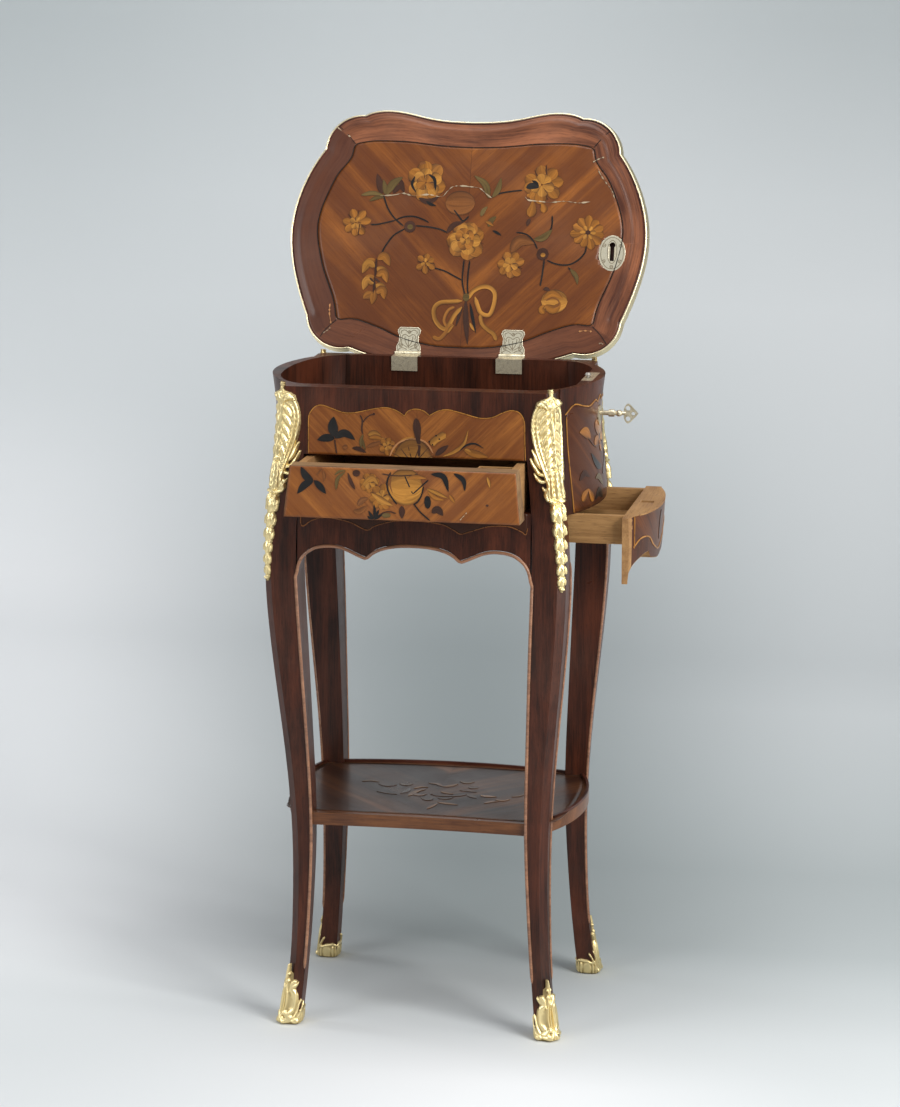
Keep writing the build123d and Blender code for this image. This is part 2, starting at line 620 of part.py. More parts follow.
cover = Pos(1.5, 0, 0) * end_block - end_block
oval = extrude(Ellipse(10.8, 7.5), amount=20)
escutcheon = cover & (Pos(face_x - 5, lock_y, key_z - 2.5) * Rot(0, 90, 0) * oval)
escutcheon = escutcheon - keyhole


def key_piece():
    """Key with a turned shank, a pierced heart-shaped bow that ends in a point, and a flat bit."""
    tip, collar_end = case_x0 + 2, face_x + 17
    profile = Polyline(
        (tip, 0), (tip, shank_r), (collar_end - 6, shank_r), (collar_end - 6, collar_r),
        (collar_end, collar_r), (collar_end, shank_r - 0.2), (collar_end + 2, shank_r - 0.2),
    )
    knob = ThreePointArc(profile @ 1, (collar_end + 5, collar_r - 0.4), (collar_end + 8, shank_r - 0.4))
    end = Polyline(knob @ 1, (bow_x - 2, shank_r - 0.6), (bow_x - 2, 0), (tip, 0))
    turned = Pos(0, lock_y, key_z) * revolve(make_face(profile + knob + end), Axis.X)
    crown = [(bow_x - 3.5, bow_lobe_r), (bow_x + 0.5, 2 * bow_lobe_r - 0.6), (bow_x + 6.5, bow_lobe_r)]
    lobe = Spline((bow_x - 2, 0), *crown, (bow_x + bow_tip, 0), tangents=[(-1, 0.4), (0.75, -1)])
    heart = make_face(Curve() + [lobe, mirror(lobe, Plane.XZ)])
    holes = [Pos(bow_x + 0.6, side * bow_lobe_r) * Circle(bow_hole_r) for side in (-1, 1)]
    holes += [Pos(bow_x + 6.2, 0) * Circle(bow_hole_r - 0.6)]
    bow_plane = Plane(origin=(0, lock_y, key_z), x_dir=(1, 0, 0), z_dir=(0, -1, 0))
    bow = extrude(bow_plane * less(heart, holes), amount=bow_half_t, both=True)
    bit = slab(tip + 0.5, tip + 5.5, lock_y - 1.1, lock_y + 1.1, key_z - bit_r, key_z)
    return turned + bow + bit


key = key_piece()

# ---------------------------------------------------------------- gilt mounts
def wing_window(corner, side, tip):
    """Face outboard of a mount's inner edge: crest, scrolled shield, leaf tip and pendant."""
    def at(width, z):
        return (side * (corner + outer_offset(z) - width), z)

    far = side * (corner + 60)
    pendant = Spline(*(at(*point) for point in MOUNT_PENDANT))
    leaf = Spline(*(at(*point) for point in MOUNT_LEAF), at(tip, mount_tip_z))
    shield = Spline(at(tip, mount_tip_z), *(at(*point) for point in MOUNT_SHIELD))
    top, low = MOUNT_SHIELD[-1][1], MOUNT_PENDANT[0][1]
    sides = [Line(shield @ 1, (far, top)), Line((far, top), (far, low)), Line((far, low), pendant @ 0)]
    return make_face(Curve() + [pendant, leaf, shield] + sides)


def corner_mount():
    """Mount wrapped round the corner of the right front leg."""
    prisms = {}
    ways = (("front", corner_x, 1, mount_tip, Plane.XZ), ("end", corner_y, -1, mount_end_tip, Plane.YZ))
    for name, corner, side, tip, plane in ways:
        grown = [(o + mount_t, z) for o, z in OUTER]
        cover = both_ways(band(shifted(grown, corner, side), shifted(OUTER, corner, side)), plane)
        deep = both_ways(band(shifted(grown, corner, side), [(side * 20, rim_z), (side * 20, 0)]), plane)
        prisms[name] = (cover, deep & both_ways(wing_window(corner, side, tip), plane))
    front_wing = prisms["front"][1] & prisms["end"][0]
    end_wing = prisms["end"][1] & prisms["front"][0]
    return front_wing + end_wing


mounts = {name: less(piece, [left_end, right_end]) for name, piece in four(corner_mount()).items()}


def sabot():
    """Shoe round the foot of the right front leg, rising to a tongue up the outer corner."""
    shell = leg_blank(sabot_t, sabot_t) & slab(0, beyond, -beyond, 0, 0, sabot_h)
    inner_u = (corner_x + corner_y - 80) / 2**0.5
    outer_u = (corner_x + corner_y + 60) / 2**0.5
    edge_u = (corner_x + corner_y - arris + 2 * outer_offset(sabot_h)) / 2**0.5
    start_u = edge_u - sabot_shoulder
    top = Spline((inner_u, sabot_low), (start_u, sabot_low + 4), (edge_u, sabot_h), (outer_u, sabot_h + 40))
    sides = [Line(top @ 1, (outer_u, 0)), Line((outer_u, 0), (inner_u, 0)), Line((inner_u, 0), top @ 0)]
    low = make_face(Curve() + [top] + sides)
    return shell & both_ways(low, diagonal)


sabots = {name: piece - legs[name] for name, piece in four(sabot()).items()}

# ---------------------------------------------------------------- write every piece
pieces = {f"{name}_leg": piece for name, piece in legs.items()}
pieces |= {f"{name}_mount": piece for name, piece in mounts.items()}
pieces |= {f"{name}_sabot": piece for name, piece in sabots.items()}
pieces |= {
    "upper_front": upper_front, "front_apron": front_apron, "back_panel": back_panel,
    "left_end": left_end, "right_end": right_end, "front_bead": front_bead, "back_bead": back_bead,
    "well_floor": well_floor, "dust_board": dust_board, "front_runner": front_runner,
    "back_runner": back_runner, "shelf": shelf, "shelf_lip": lip, "lock_case": lock_case,
    "lock_selvedge": selvedge,
    "escutcheon": escutcheon, "lid_bolt": lid_bolt, "drawer_bolt": drawer_bolt, "key": key,
}
pieces |= {f"{side}_guide": piece for side, piece in guides.items()}
pieces |= {f"{side}_fixed_hinge_leaf": leaves[1] for side, leaves in hinges.items()}
pieces |= {f"{side}_hinge_pin": leaves[2] for side, leaves in hinges.items()}
pieces |= {f"lid_{name}": piece for name, piece in lid.items()}
pieces |= {f"front_drawer_{name}": piece for name, piece in front_drawer.items()}
pieces |= {f"end_drawer_{name}": piece for name, piece in end_drawer.items()}

boxes = [piece.bounding_box() for piece in pieces.values()]
middle_x = (min(box.min.X for box in boxes) + max(box.max.X for box in boxes)) / 2
middle_y = (min(box.min.Y for box in boxes) + max(box.max.Y for box in boxes)) / 2
to_origin = Pos(-round(2 * middle_x) / 2, -round(2 * middle_y) / 2, 0)  # to the half millimetre
print("middle of the whole table, from the middle of the carcass:", to_origin.inverse().position)
for name, piece in pieces.items():
    export_step(to_origin * piece, f"parts/{name}.step")
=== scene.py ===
"""Looks of a poudreuse dressing table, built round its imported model.

Shapes are written in millimetres about the middle of the carcass: X towards the end with the
lock, Y towards the back, Z up from the floor. placed() turns them into metres in the frame.
"""

import bmesh
import bpy
import numpy as np
from mathutils import Matrix, Vector
from mathutils.bvhtree import BVHTree


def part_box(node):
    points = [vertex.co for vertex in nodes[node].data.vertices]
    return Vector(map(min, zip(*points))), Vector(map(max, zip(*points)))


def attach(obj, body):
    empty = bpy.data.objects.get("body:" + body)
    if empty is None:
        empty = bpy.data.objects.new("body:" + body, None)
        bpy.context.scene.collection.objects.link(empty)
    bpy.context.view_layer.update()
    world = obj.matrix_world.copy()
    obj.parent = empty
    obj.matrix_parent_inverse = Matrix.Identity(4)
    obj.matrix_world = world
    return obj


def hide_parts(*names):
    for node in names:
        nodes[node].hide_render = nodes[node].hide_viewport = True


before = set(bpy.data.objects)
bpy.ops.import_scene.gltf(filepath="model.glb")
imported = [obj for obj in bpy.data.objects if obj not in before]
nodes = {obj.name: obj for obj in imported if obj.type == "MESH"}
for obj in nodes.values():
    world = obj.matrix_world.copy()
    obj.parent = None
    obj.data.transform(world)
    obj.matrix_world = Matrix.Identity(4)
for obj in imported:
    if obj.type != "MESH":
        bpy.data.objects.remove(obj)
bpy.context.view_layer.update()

scene = bpy.context.scene
rng = np.random.default_rng(7)

# ---------------------------------------------------------------- sizes shared with the carcass
CORNER_X, CORNER_Y = 146.0, 118.0  # outer corner of a front leg at the rim
BACK_SPLAY = 10.5  # the back legs stand this much further out to the sides
ARRIS = 8.0  # how far the rounded corner of a leg reaches along each of its faces
DRAWER_OUT = 64.0  # the front drawer at rest stands this far out
LID_OPEN = np.radians(108.0)  # the lid at rest, from shut
HINGE_Y, HINGE_Z = 126.0, 700.15
LID_TOP, LID_UNDER = 12.15, 0.15  # heights of the lid's two faces over the hinge line, lid shut
SHELF_TOP = 236.5
VENEER_LIFT, INLAY_LIFT, PLATE_LIFT = 0.06, 0.075, 0.122  # heights over the wood under them
VENEER = {"thick": 0.5, "slot": "marquetry"}


def box_mm(node):
    """Lowest and highest corner of a node, in millimetres of the frame."""
    return np.array(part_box(node)) * 1000


MIDDLE = np.array([
    (box_mm("front_left_leg")[0, 0] + box_mm("front_right_leg")[1, 0]) / 2,
    (box_mm("front_left_leg")[0, 1] + box_mm("back_left_leg")[1, 1]) / 2,
    0.0,
])


def placed(points):
    """Millimetres about the middle of the carcass, turned into metres in the frame."""
    return (np.asarray(points, float) + MIDDLE) / 1000


# ---------------------------------------------------------------- meshes from arrays
def grid_faces(rows, columns, closed_rows=False, closed_columns=False):
    """Index quads of a rows by columns grid; a closed direction joins its last line to its first."""
    r = np.arange(rows if closed_rows else rows - 1)[:, None]
    c = np.arange(columns if closed_columns else columns - 1)[None, :]
    r1, c1 = (r + 1) % rows, (c + 1) % columns
    quads = np.stack([r * columns + c, r * columns + c1, r1 * columns + c1, r1 * columns + c], -1)
    return quads.reshape(-1, 4)


def make_piece(name, points, faces, body, material, uv=None, values=None, merge=0.0, thick=0.0,
               slot=None, flat=False):
    """Mesh object from points in millimetres. uv and values are given per point; thick grows it
    to a closed plate, away from the side that its faces look to; flat leaves its edges crisp."""
    mesh = bpy.data.meshes.new(name)
    mesh.from_pydata(placed(points).tolist(), [], np.asarray(faces).tolist())
    mesh.polygons.foreach_set("use_smooth", np.full(len(mesh.polygons), not flat))
    if uv is not None:
        corners = np.empty(len(mesh.loops), int)
        mesh.loops.foreach_get("vertex_index", corners)
        layer = mesh.uv_layers.new(name="UVMap")
        layer.uv.foreach_set("vector", (np.asarray(uv, float) / 1000)[corners].ravel())
    for key, column in (values or {}).items():
        attribute = mesh.attributes.new(key, "FLOAT", "POINT")
        attribute.data.foreach_set("value", np.asarray(column, np.float32))
    mesh.update()
    if merge:
        work = bmesh.new()
        work.from_mesh(mesh)
        bmesh.ops.remove_doubles(work, verts=work.verts, dist=merge / 1000)
        work.to_mesh(mesh)
        work.free()
    piece = bpy.data.objects.new(name, mesh)
    scene.collection.objects.link(piece)
    mesh.materials.append(material)
    if thick:
        solid = piece.modifiers.new("thickness", "SOLIDIFY")
        solid.thickness, solid.offset = thick / 1000, -1
    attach(piece, body)
    return piece


def sheet(name, grid, body, material, closed=(False, False), turned=False, hole=None, uv=None,
          values=None, **more):
    """Surface of a grid of points (rows, columns, 3), seen from the side on which the columns run
    to the right of the rows, or from the other side if turned. Faces at points in hole are left out."""
    faces = grid_faces(*grid.shape[:2], *closed)
    faces = faces[:, ::-1] if turned else faces
    if hole is not None:
        faces = faces[~hole.ravel()[faces].any(1)]
    used, index = np.unique(faces, return_inverse=True)
    uv = None if uv is None else uv.reshape(-1, 2)[used]
    values = {key: column.reshape(-1)[used] for key, column in (values or {}).items()}
    points = grid.reshape(-1, 3)[used]
    return make_piece(name, points, index.reshape(-1, 4), body, material, uv, values, **more)


def smooth_path(points, count, closed=False):
    """Catmull-Rom curve through the points, cut into count points evenly along its length."""
    p = np.asarray(points, float)
    if closed:
        q = np.vstack([p[-1:], p, p[:2]])
    else:
        q = np.vstack([2 * p[0] - p[1], p, 2 * p[-1] - p[-2]])
    t = np.linspace(0, 1, 16, endpoint=False)[None, :, None]
    a, b, c, d = q[:-3, None], q[1:-2, None], q[2:-1, None], q[3:, None]
    curve = 0.5 * (2 * b + (c - a) * t + (2 * a - 5 * b + 4 * c - d) * t**2 + (3 * b - a - 3 * c + d) * t**3)
    curve = np.vstack([curve.reshape(-1, p.shape[1]), q[-2][None]])
    run = np.r_[0, np.cumsum(np.linalg.norm(np.diff(curve, axis=0), axis=1))]
    at = np.linspace(0, run[-1], count)
    return np.stack([np.interp(at, run, curve[:, k]) for k in range(p.shape[1])], 1)


def stack(*columns):
    """Columns broadcast against each other and set side by side as coordinates."""
    return np.stack(np.broadcast_arrays(*[np.asarray(c, float) for c in columns]), -1)


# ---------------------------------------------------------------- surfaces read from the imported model
def tree_of(*names):
    """Ray-casting tree over some CAD nodes."""
    points, faces = [], []
    for name in names:
        mesh = nodes[name].data
        start = len(points)
        points += [v.co.copy() for v in mesh.vertices]
        faces += [[i + start for i in p.vertices] for p in mesh.polygons]
    return BVHTree.FromPolygons(points, faces)


def first_hit(tree, start, way):
    """Where a ray from start first meets the tree, in millimetres, or nothing."""
    hit = tree.ray_cast(Vector(placed(start)), Vector(way))[0]
    return None if hit is None else np.array(hit) * 1000 - MIDDLE


# rough outward offset of the outer face of a leg from its corner at the rim, over the height;
# the rays that read the true one start from it
ROUGH = ((0, 6.5), (60, -2.5), (130, -6.0), (210, -6.3), (295, -1.5), (375, 6.0), (450, 12.5), (510, 14.5),
         (580, 9.0), (640, 2.5), (700, 0.0))
leg_tree = tree_of("front_right_leg")
heights = np.linspace(7, 699, 260)
rough = np.interp(heights, *zip(*ROUGH))
FACE_IN = 12.5  # how far from the corner the rays meet the face
offsets = [-first_hit(leg_tree, (CORNER_X + o - FACE_IN, -250, z), (0, 1, 0))[1] - CORNER_Y
           for z, o in zip(heights, rough)]


def leg_offset(z):
    """Outward offset of a leg's outer faces at height z, read off the leg."""
    return np.interp(z, heights, offsets)


BEYOND = 330  # the rays that read an edge or an end from outside start this far out
END_STEP = 4.0
end_y, end_z = np.arange(-92.0, 93.0, END_STEP), np.arange(496.0, 700.0, END_STEP)


def depth_table(node, side):
    """Distance of a bowed face from the middle over end_y and end_z, read from outside."""
    tree, depth = tree_of(node), np.full((len(end_z), len(end_y)), np.nan)
    for row, z in enumerate(end_z):
        for column, y in enumerate(end_y):
            hit = first_hit(tree, (side * BEYOND, y, z), (-side, 0, 0))
            if hit is not None and side * hit[0] > 140:  # and not the far side, through a gap
                depth[row, column] = side * hit[0]
    for column in range(len(end_y)):  # past the edges of the piece the face keeps its line
        known = np.flatnonzero(~np.isnan(depth[:, column]))
        if len(known):
            depth[:, column] = np.interp(end_z, end_z[known], depth[known, column])
    known = np.flatnonzero(~np.isnan(depth[0]))
    return np.stack([np.interp(end_y, end_y[known], line[known]) for line in depth])


left_depth, right_depth = depth_table("left_end", -1), depth_table("right_end", 1)
drawer_depth = depth_table("end_drawer_face", 1)


def end_depth(depth, y, z):
    """Distance of a bowed face from the middle, by straight lines between the read points."""
    u = np.clip((np.asarray(y) - end_y[0]) / END_STEP, 0, len(end_y) - 1.001)
    v = np.clip((np.asarray(z) - end_z[0]) / END_STEP, 0, len(end_z) - 1.001)
    i, j = v.astype(int), u.astype(int)
    fu, fv = u - j, v - i
    return ((depth[i, j] * (1 - fu) + depth[i, j + 1] * fu) * (1 - fv)
            + (depth[i + 1, j] * (1 - fu) + depth[i + 1, j + 1] * fu) * fv)


LID_X = np.array([1.0, 0, 0])
LID_UP = np.array([0, -np.cos(LID_OPEN), np.sin(LID_OPEN)])  # from the hinge to the lid's front edge
LID_OUT = np.array([0, np.sin(LID_OPEN), np.cos(LID_OPEN)])  # from the underside to the top


def lid_point(x, u, h):
    """Place on the open lid: x along the hinge, u away from it, h over the underside."""
    x, u, h = (np.asarray(c, float)[..., None] for c in np.broadcast_arrays(x, u, h))
    return np.array([0, HINGE_Y, HINGE_Z]) + x * LID_X + u * LID_UP + (h + LID_UNDER) * LID_OUT


# Each surface takes two coordinates and a height over the face. Seen from outside, the first
# coordinate runs to the right and the second runs up.
def on_lid_under(x, u, lift):
    return lid_point(x, u, -np.asarray(lift))


def on_lid_top(x, u, lift):
    return lid_point(-np.asarray(x), u, LID_TOP - LID_UNDER + np.asarray(lift))


def on_front(x, z, lift, out=0.0):
    return stack(x, -(CORNER_Y + leg_offset(z)) - out - lift, z)


def on_drawer(x, z, lift):
    return on_front(x, z, lift, DRAWER_OUT)


def on_right_end(y, z, lift):
    return stack(end_depth(right_depth, y, z) + lift, y, z)


def on_end_drawer(y, z, lift):
    return stack(end_depth(drawer_depth, y, z) + lift, y, z)


def on_left_end(y, z, lift):
    return stack(-end_depth(left_depth, -np.asarray(y), z) - lift, -np.asarray(y), z)


def on_shelf(x, y, lift):
    return stack(x, y, SHELF_TOP + np.asarray(lift))


# ---------------------------------------------------------------- materials
def new_group(name, inputs, outputs):
    """Node group with named sockets; inputs and outputs are (kind, name, value)."""
    group = bpy.data.node_groups.new(name, "ShaderNodeTree")
    for way, sockets in (("INPUT", inputs), ("OUTPUT", outputs)):
        for kind, label, *value in sockets:
            socket = group.interface.new_socket(name=label, in_out=way, socket_type="NodeSocket" + kind)
            if value:
                socket.default_value = value[0]
    return group, group.nodes.new("NodeGroupInput").outputs, group.nodes.new("NodeGroupOutput").inputs


def fill(tree, node, values):
    """Sets the node's sockets, and links them where a value is itself a socket."""
    for key, value in values.items():
        if isinstance(value, bpy.types.NodeSocket):
            tree.links.new(value, node.inputs[key])
        else:
            node.inputs[key].default_value = value
    return node


def add(tree, kind, values=None, **settings):
    """New shader node; settings sets its own fields and values its sockets."""
    node = tree.nodes.new("ShaderNode" + kind)
    for key, value in settings.items():
        setattr(node, key, value)
    return fill(tree, node, values or {})


def math(tree, operation, *values):
    """Result of one sum on sockets or numbers."""
    return add(tree, "Math", dict(enumerate(values)), operation=operation).outputs[0]


def blend_colour(tree, amount, first, second, mode="MIX"):
    """The first colour turned into the second by amount."""
    sockets = {0: amount, 6: first, 7: second}
    return add(tree, "Mix", sockets, data_type="RGBA", blend_type=mode).outputs[2]


def spread(tree, value, low, high, to_low=0.0, to_high=1.0):
    """Value from low to high stretched over another range, and held beyond it."""
    return add(tree, "MapRange", {0: value, 1: low, 2: high, 3: to_low, 4: to_high}).outputs[0]


def noise(tree, vector, scale, stretch=(1, 1, 1), detail=4.0, rough=0.6, twist=0.0):
    """Noise over a stretched vector."""
    pulled = add(tree, "VectorMath", {0: vector, 1: stretch}, operation="MULTIPLY").outputs[0]
    return add(tree, "TexNoise", {"Vector": pulled, "Scale": scale, "Detail": detail, "Roughness": rough,
                                  "Distortion": twist}).outputs[0]


def rgb(r, g, b):
    """Opaque colour."""
    return (r, g, b, 1.0)


# wood figure: streaks along X of the vector, finer lines in them, pores and slow mottling
figure, gin, gout = new_group(
    "wood figure",
    [("Vector", "Vector"), ("Color", "Light"), ("Color", "Dark"), ("Color", "Pore"),
     ("Float", "Streaks", 60.0), ("Float", "Contrast", 1.0), ("Float", "Pores", 0.5)],
    [("Color", "Color"), ("Float", "Height")],
)
wide = noise(figure, gin["Vector"], gin["Streaks"], (0.10, 1, 1), 5, 0.62, 0.5)
fine = noise(figure, gin["Vector"], 520, (0.035, 1, 1), 3, 0.6)
slow = noise(figure, gin["Vector"], 14, (0.6, 1, 1), 3, 0.5, 0.8)
pore = noise(figure, gin["Vector"], 1500, (0.06, 1, 1), 2, 0.5)
mixed = math(figure, "ADD", math(figure, "MULTIPLY", wide, 0.62), math(figure, "MULTIPLY", slow, 0.38))
mixed = spread(figure, mixed, 0.36, 0.64)
mixed = math(figure, "ADD", mixed, math(figure, "MULTIPLY", math(figure, "SUBTRACT", fine, 0.5), 1.1))
mixed = math(figure, "SUBTRACT", mixed, 0.5)
mixed = math(figure, "ADD", math(figure, "MULTIPLY", mixed, gin["Contrast"]), 0.5)
mixed = spread(figure, mixed, 0, 1)
body_colour = blend_colour(figure, mixed, gin["Dark"], gin["Light"])
open_pore = math(figure, "MULTIPLY", spread(figure, pore, 0.58, 0.70), gin["Pores"])
figure.links.new(blend_colour(figure, open_pore, body_colour, gin["Pore"]), gout["Color"])
height = math(figure, "SUBTRACT", math(figure, "MULTIPLY", fine, 0.4), open_pore)
figure.links.new(height, gout["Height"])

# handling: soft smears and dust that change the gloss, and fine scratches
handling, hin, hout = new_group(
    "handling",
    [("Vector", "Vector"), ("Float", "Gloss", 0.3), ("Float", "Spread", 0.12)],
    [("Float", "Roughness"), ("Float", "Dust")],
)
smear = noise(handling, hin["Vector"], 9, (1, 1, 1), 5, 0.65, 0.6)
scratch = noise(handling, hin["Vector"], 260, (0.05, 1, 1), 2, 0.5)
swing = math(handling, "MULTIPLY", hin["Spread"], 4)
swing = math(handling, "MULTIPLY", math(handling, "SUBTRACT", smear, 0.5), swing)
swing = math(handling, "ADD", swing, math(handling, "MULTIPLY", spread(handling, scratch, 0.6, 0.75), 0.06))
handling.links.new(math(handling, "ADD", hin["Gloss"], swing), hout["Roughness"])
handling.links.new(spread(handling, smear, 0.5, 0.8), hout["Dust"])


def begin(name):
    """New material; returns it, its tree and its Principled shader."""
    material = bpy.data.materials.new(name)
    material.use_nodes = True
    return material, material.node_tree, material.node_tree.nodes["Principled BSDF"]


def use_group(tree, group, values):
    """Outputs of a group laid into the tree."""
    return fill(tree, add(tree, "Group", node_tree=group), values).outputs


def figured(tree, vector, light, dark, pore, streaks, contrast=1.0, pores=0.5):
    """Colour and height of the wood figure over a vector."""
    return use_group(tree, figure, {
        "Vector": vector, "Light": rgb(*light), "Dark": rgb(*dark), "Pore": rgb(*pore),
        "Streaks": streaks, "Contrast": contrast, "Pores": pores,
    })


def rearranged(tree, vector, order):
    """The vector with its parts in another order, so that the grain runs along the first."""
    parts = add(tree, "SeparateXYZ", {0: vector}).outputs
    return add(tree, "CombineXYZ", {i: parts[k] for i, k in enumerate(order)}).outputs[0]


def finish_wood(tree, shader, outputs, vector, gloss, coat, bump=0.12, shine=0.2):
    """Colour, gloss and surface of a wood from its figure."""
    worn = use_group(tree, handling, {"Vector": vector, "Gloss": gloss})
    dust = math(tree, "MULTIPLY", worn["Dust"], 0.03)
    dusty = blend_colour(tree, dust, outputs["Color"], rgb(0.42, 0.34, 0.27))
    tree.links.new(dusty, shader.inputs["Base Color"])
    tree.links.new(worn["Roughness"], shader.inputs["Roughness"])
    relief = add(tree, "Bump", {"Strength": bump, "Distance": 0.0006, "Height": outputs["Height"]})
    tree.links.new(relief.outputs[0], shader.inputs["Normal"])
    shader.inputs["Coat Weight"].default_value = coat
    shader.inputs["Coat Roughness"].default_value = 0.16
    shader.inputs["Specular IOR Level"].default_value = shine


GRAIN = {"x": (0, 1, 2), "y": (1, 2, 0), "z": (2, 0, 1)}  # order of the axes, the grain's own first


def solid_wood(name, light, dark, pore, grain, streaks, contrast, pores=0.5, gloss=0.38, coat=0.25,
               bump=0.12):
    """Plain wood or veneer with its grain along one axis of the object."""
    material, tree, shader = begin(name)
    vector = rearranged(tree, add(tree, "TexCoord").outputs["Object"], GRAIN[grain])
    made = figured(tree, vector, light, dark, pore, streaks, contrast, pores)
    finish_wood(tree, shader, made, vector, gloss, coat, bump)
    return material


def framed_veneer(name, light, dark, pore):
    """Veneer of mitred lengths: grain along U of the map, each length darkened by its own painted light and
    shade, for how the lamps fall on it.
    """
    material, tree, shader = begin(name)
    vector = add(tree, "TexCoord").outputs["UV"]
    made = figured(tree, vector, light, dark, pore, 70.0)
    # painted light and shade: a share per length of the frame, from the dark colour to the figure
    painted_light = add(tree, "Attribute", attribute_name="painted_light").outputs["Fac"]
    colour = blend_colour(tree, painted_light, rgb(*dark), made["Color"])
    surface = {"Color": colour, "Height": made["Height"]}
    finish_wood(tree, shader, surface, vector, gloss=0.34, coat=0.2, shine=0.3)
    return material


SEAM_COLOUR = (0.03, 0.012, 0.006)


def matched_veneer(name, light, dark, mid, seam=0.0, streaks=38.0, gloss=0.36, coat=0.22,
                   bands=55.0, band_share=0.8):
    """Veneer laid in a V about a seam: the grain runs at 45 degrees down to it from both sides.
    Along the grain is (|x| + y) / root 2 and across it (|x| - y) / root 2, on the piece's own map."""
    material, tree, shader = begin(name)
    parts = add(tree, "SeparateXYZ", {0: add(tree, "TexCoord").outputs["UV"]}).outputs
    aside = math(tree, "ABSOLUTE", math(tree, "SUBTRACT", parts[0], seam / 1000))
    half = add(tree, "MapRange", {0: parts[0], 1: seam / 1000 - 0.0001, 2: seam / 1000 + 0.0001}).outputs[0]
    along = math(tree, "MULTIPLY", math(tree, "ADD", aside, parts[1]), 0.707)
    across = math(tree, "MULTIPLY", math(tree, "SUBTRACT", aside, parts[1]), 0.707)
    shift = math(tree, "MULTIPLY", half, 0.013)  # another part of the figure beyond the seam
    vector = add(tree, "CombineXYZ", {0: along, 1: across, 2: shift}).outputs[0]
    made = figured(tree, vector, light, dark, SEAM_COLOUR, streaks, 1.2, 0.35)
    flame = spread(tree, noise(tree, vector, bands, (0.03, 1, 0.2), 2.2, 0.55, 0.4), 0.42, 0.57)
    coloured = blend_colour(tree, math(tree, "MULTIPLY", flame, band_share), made["Color"], rgb(*mid))
    seam_line = spread(tree, aside, 0.0001, 0.0006, 0.45, 0.0)
    coloured = blend_colour(tree, seam_line, coloured, rgb(*SEAM_COLOUR))
    finish_wood(tree, shader, {"Color": coloured, "Height": made["Height"]}, vector, gloss, coat)
    return material


TONES = (  # ebony, burnt wood, green-stained wood, amaranth, satinwood, box, worn glue, bleached wood
    (0.010, 0.009, 0.009), (0.050, 0.020, 0.012), (0.115, 0.078, 0.026), (0.20, 0.075, 0.022),
    (0.31, 0.125, 0.022), (0.42, 0.195, 0.038), (0.46, 0.38, 0.28), (0.48, 0.23, 0.10),
)


def inlay_wood(name, worn=None):
    """Small pieces of many woods: the wood from the tone, grain along each piece, scorched
    shading on one side and a dark saw line round it. worn is a colour they have faded towards."""
    material, tree, shader = begin(name)

    def read(key):
        return add(tree, "Attribute", attribute_name=key).outputs["Fac"]

    ramp = add(tree, "ValToRGB", {0: read("tone")})
    ramp.color_ramp.interpolation = "CONSTANT"
    while len(ramp.color_ramp.elements) < len(TONES):
        ramp.color_ramp.elements.new(0.5)
    for index, colour in enumerate(TONES):
        ramp.color_ramp.elements[index].position = index / len(TONES)
        ramp.color_ramp.elements[index].color = rgb(*colour)
    vector = add(tree, "TexCoord").outputs["UV"]
    made = figured(tree, vector, (1.25, 1.2, 1.1), (0.62, 0.58, 0.5), (0.3, 0.25, 0.2), 240.0, pores=0.4)
    colour = blend_colour(tree, 1.0, ramp.outputs[0], made["Color"], "MULTIPLY")
    side = read("across")
    scorched = spread(tree, read("tone"), 0.30, 0.45, 0.0, 0.72)  # the light woods
    scorch = math(tree, "MULTIPLY", spread(tree, side, 0.1, -0.95), scorched)
    colour = blend_colour(tree, scorch, colour, rgb(0.07, 0.024, 0.008))
    saw = spread(tree, math(tree, "ABSOLUTE", side), 0.86, 0.97, 0.0, 0.6)
    colour = blend_colour(tree, saw, colour, rgb(0.025, 0.012, 0.007))
    if worn:
        colour = blend_colour(tree, 0.62, colour, rgb(*worn))
    finish_wood(tree, shader, {"Color": colour, "Height": made["Height"]}, vector, 0.34, 0.3)
    return material


def metal(name, bright, deep, gloss=0.32, relief=False, tarnish=0.35, scale=160.0):
    """Metal with brightened and tarnished places; with relief it keeps dirt in its depths."""
    material, tree, shader = begin(name)
    where = add(tree, "TexCoord").outputs["Object"]
    patches = spread(tree, noise(tree, where, scale, (1, 1, 1), 5, 0.65, 0.3), 0.35, 0.7)
    grainy = noise(tree, where, 1400, (1, 1, 1), 3, 0.6)
    amount = math(tree, "MULTIPLY", patches, tarnish)
    if relief:
        low = spread(tree, add(tree, "Attribute", attribute_name="relief").outputs["Fac"], 0.55, 0.05)
        amount = math(tree, "MAXIMUM", amount, math(tree, "MULTIPLY", low, 0.9))
    tree.links.new(blend_colour(tree, amount, rgb(*bright), rgb(*deep)), shader.inputs["Base Color"])
    dull = math(tree, "ADD", math(tree, "MULTIPLY", amount, 0.3), gloss)
    clean = math(tree, "SUBTRACT", 1.0, math(tree, "MULTIPLY", amount, 0.25))
    bumps = math(tree, "ADD", math(tree, "MULTIPLY", grainy, 0.3), patches)
    bump = add(tree, "Bump", {"Strength": 0.12, "Distance": 0.0004, "Height": bumps}).outputs[0]
    fill(tree, shader, {"Roughness": dull, "Metallic": clean, "Normal": bump})
    return material


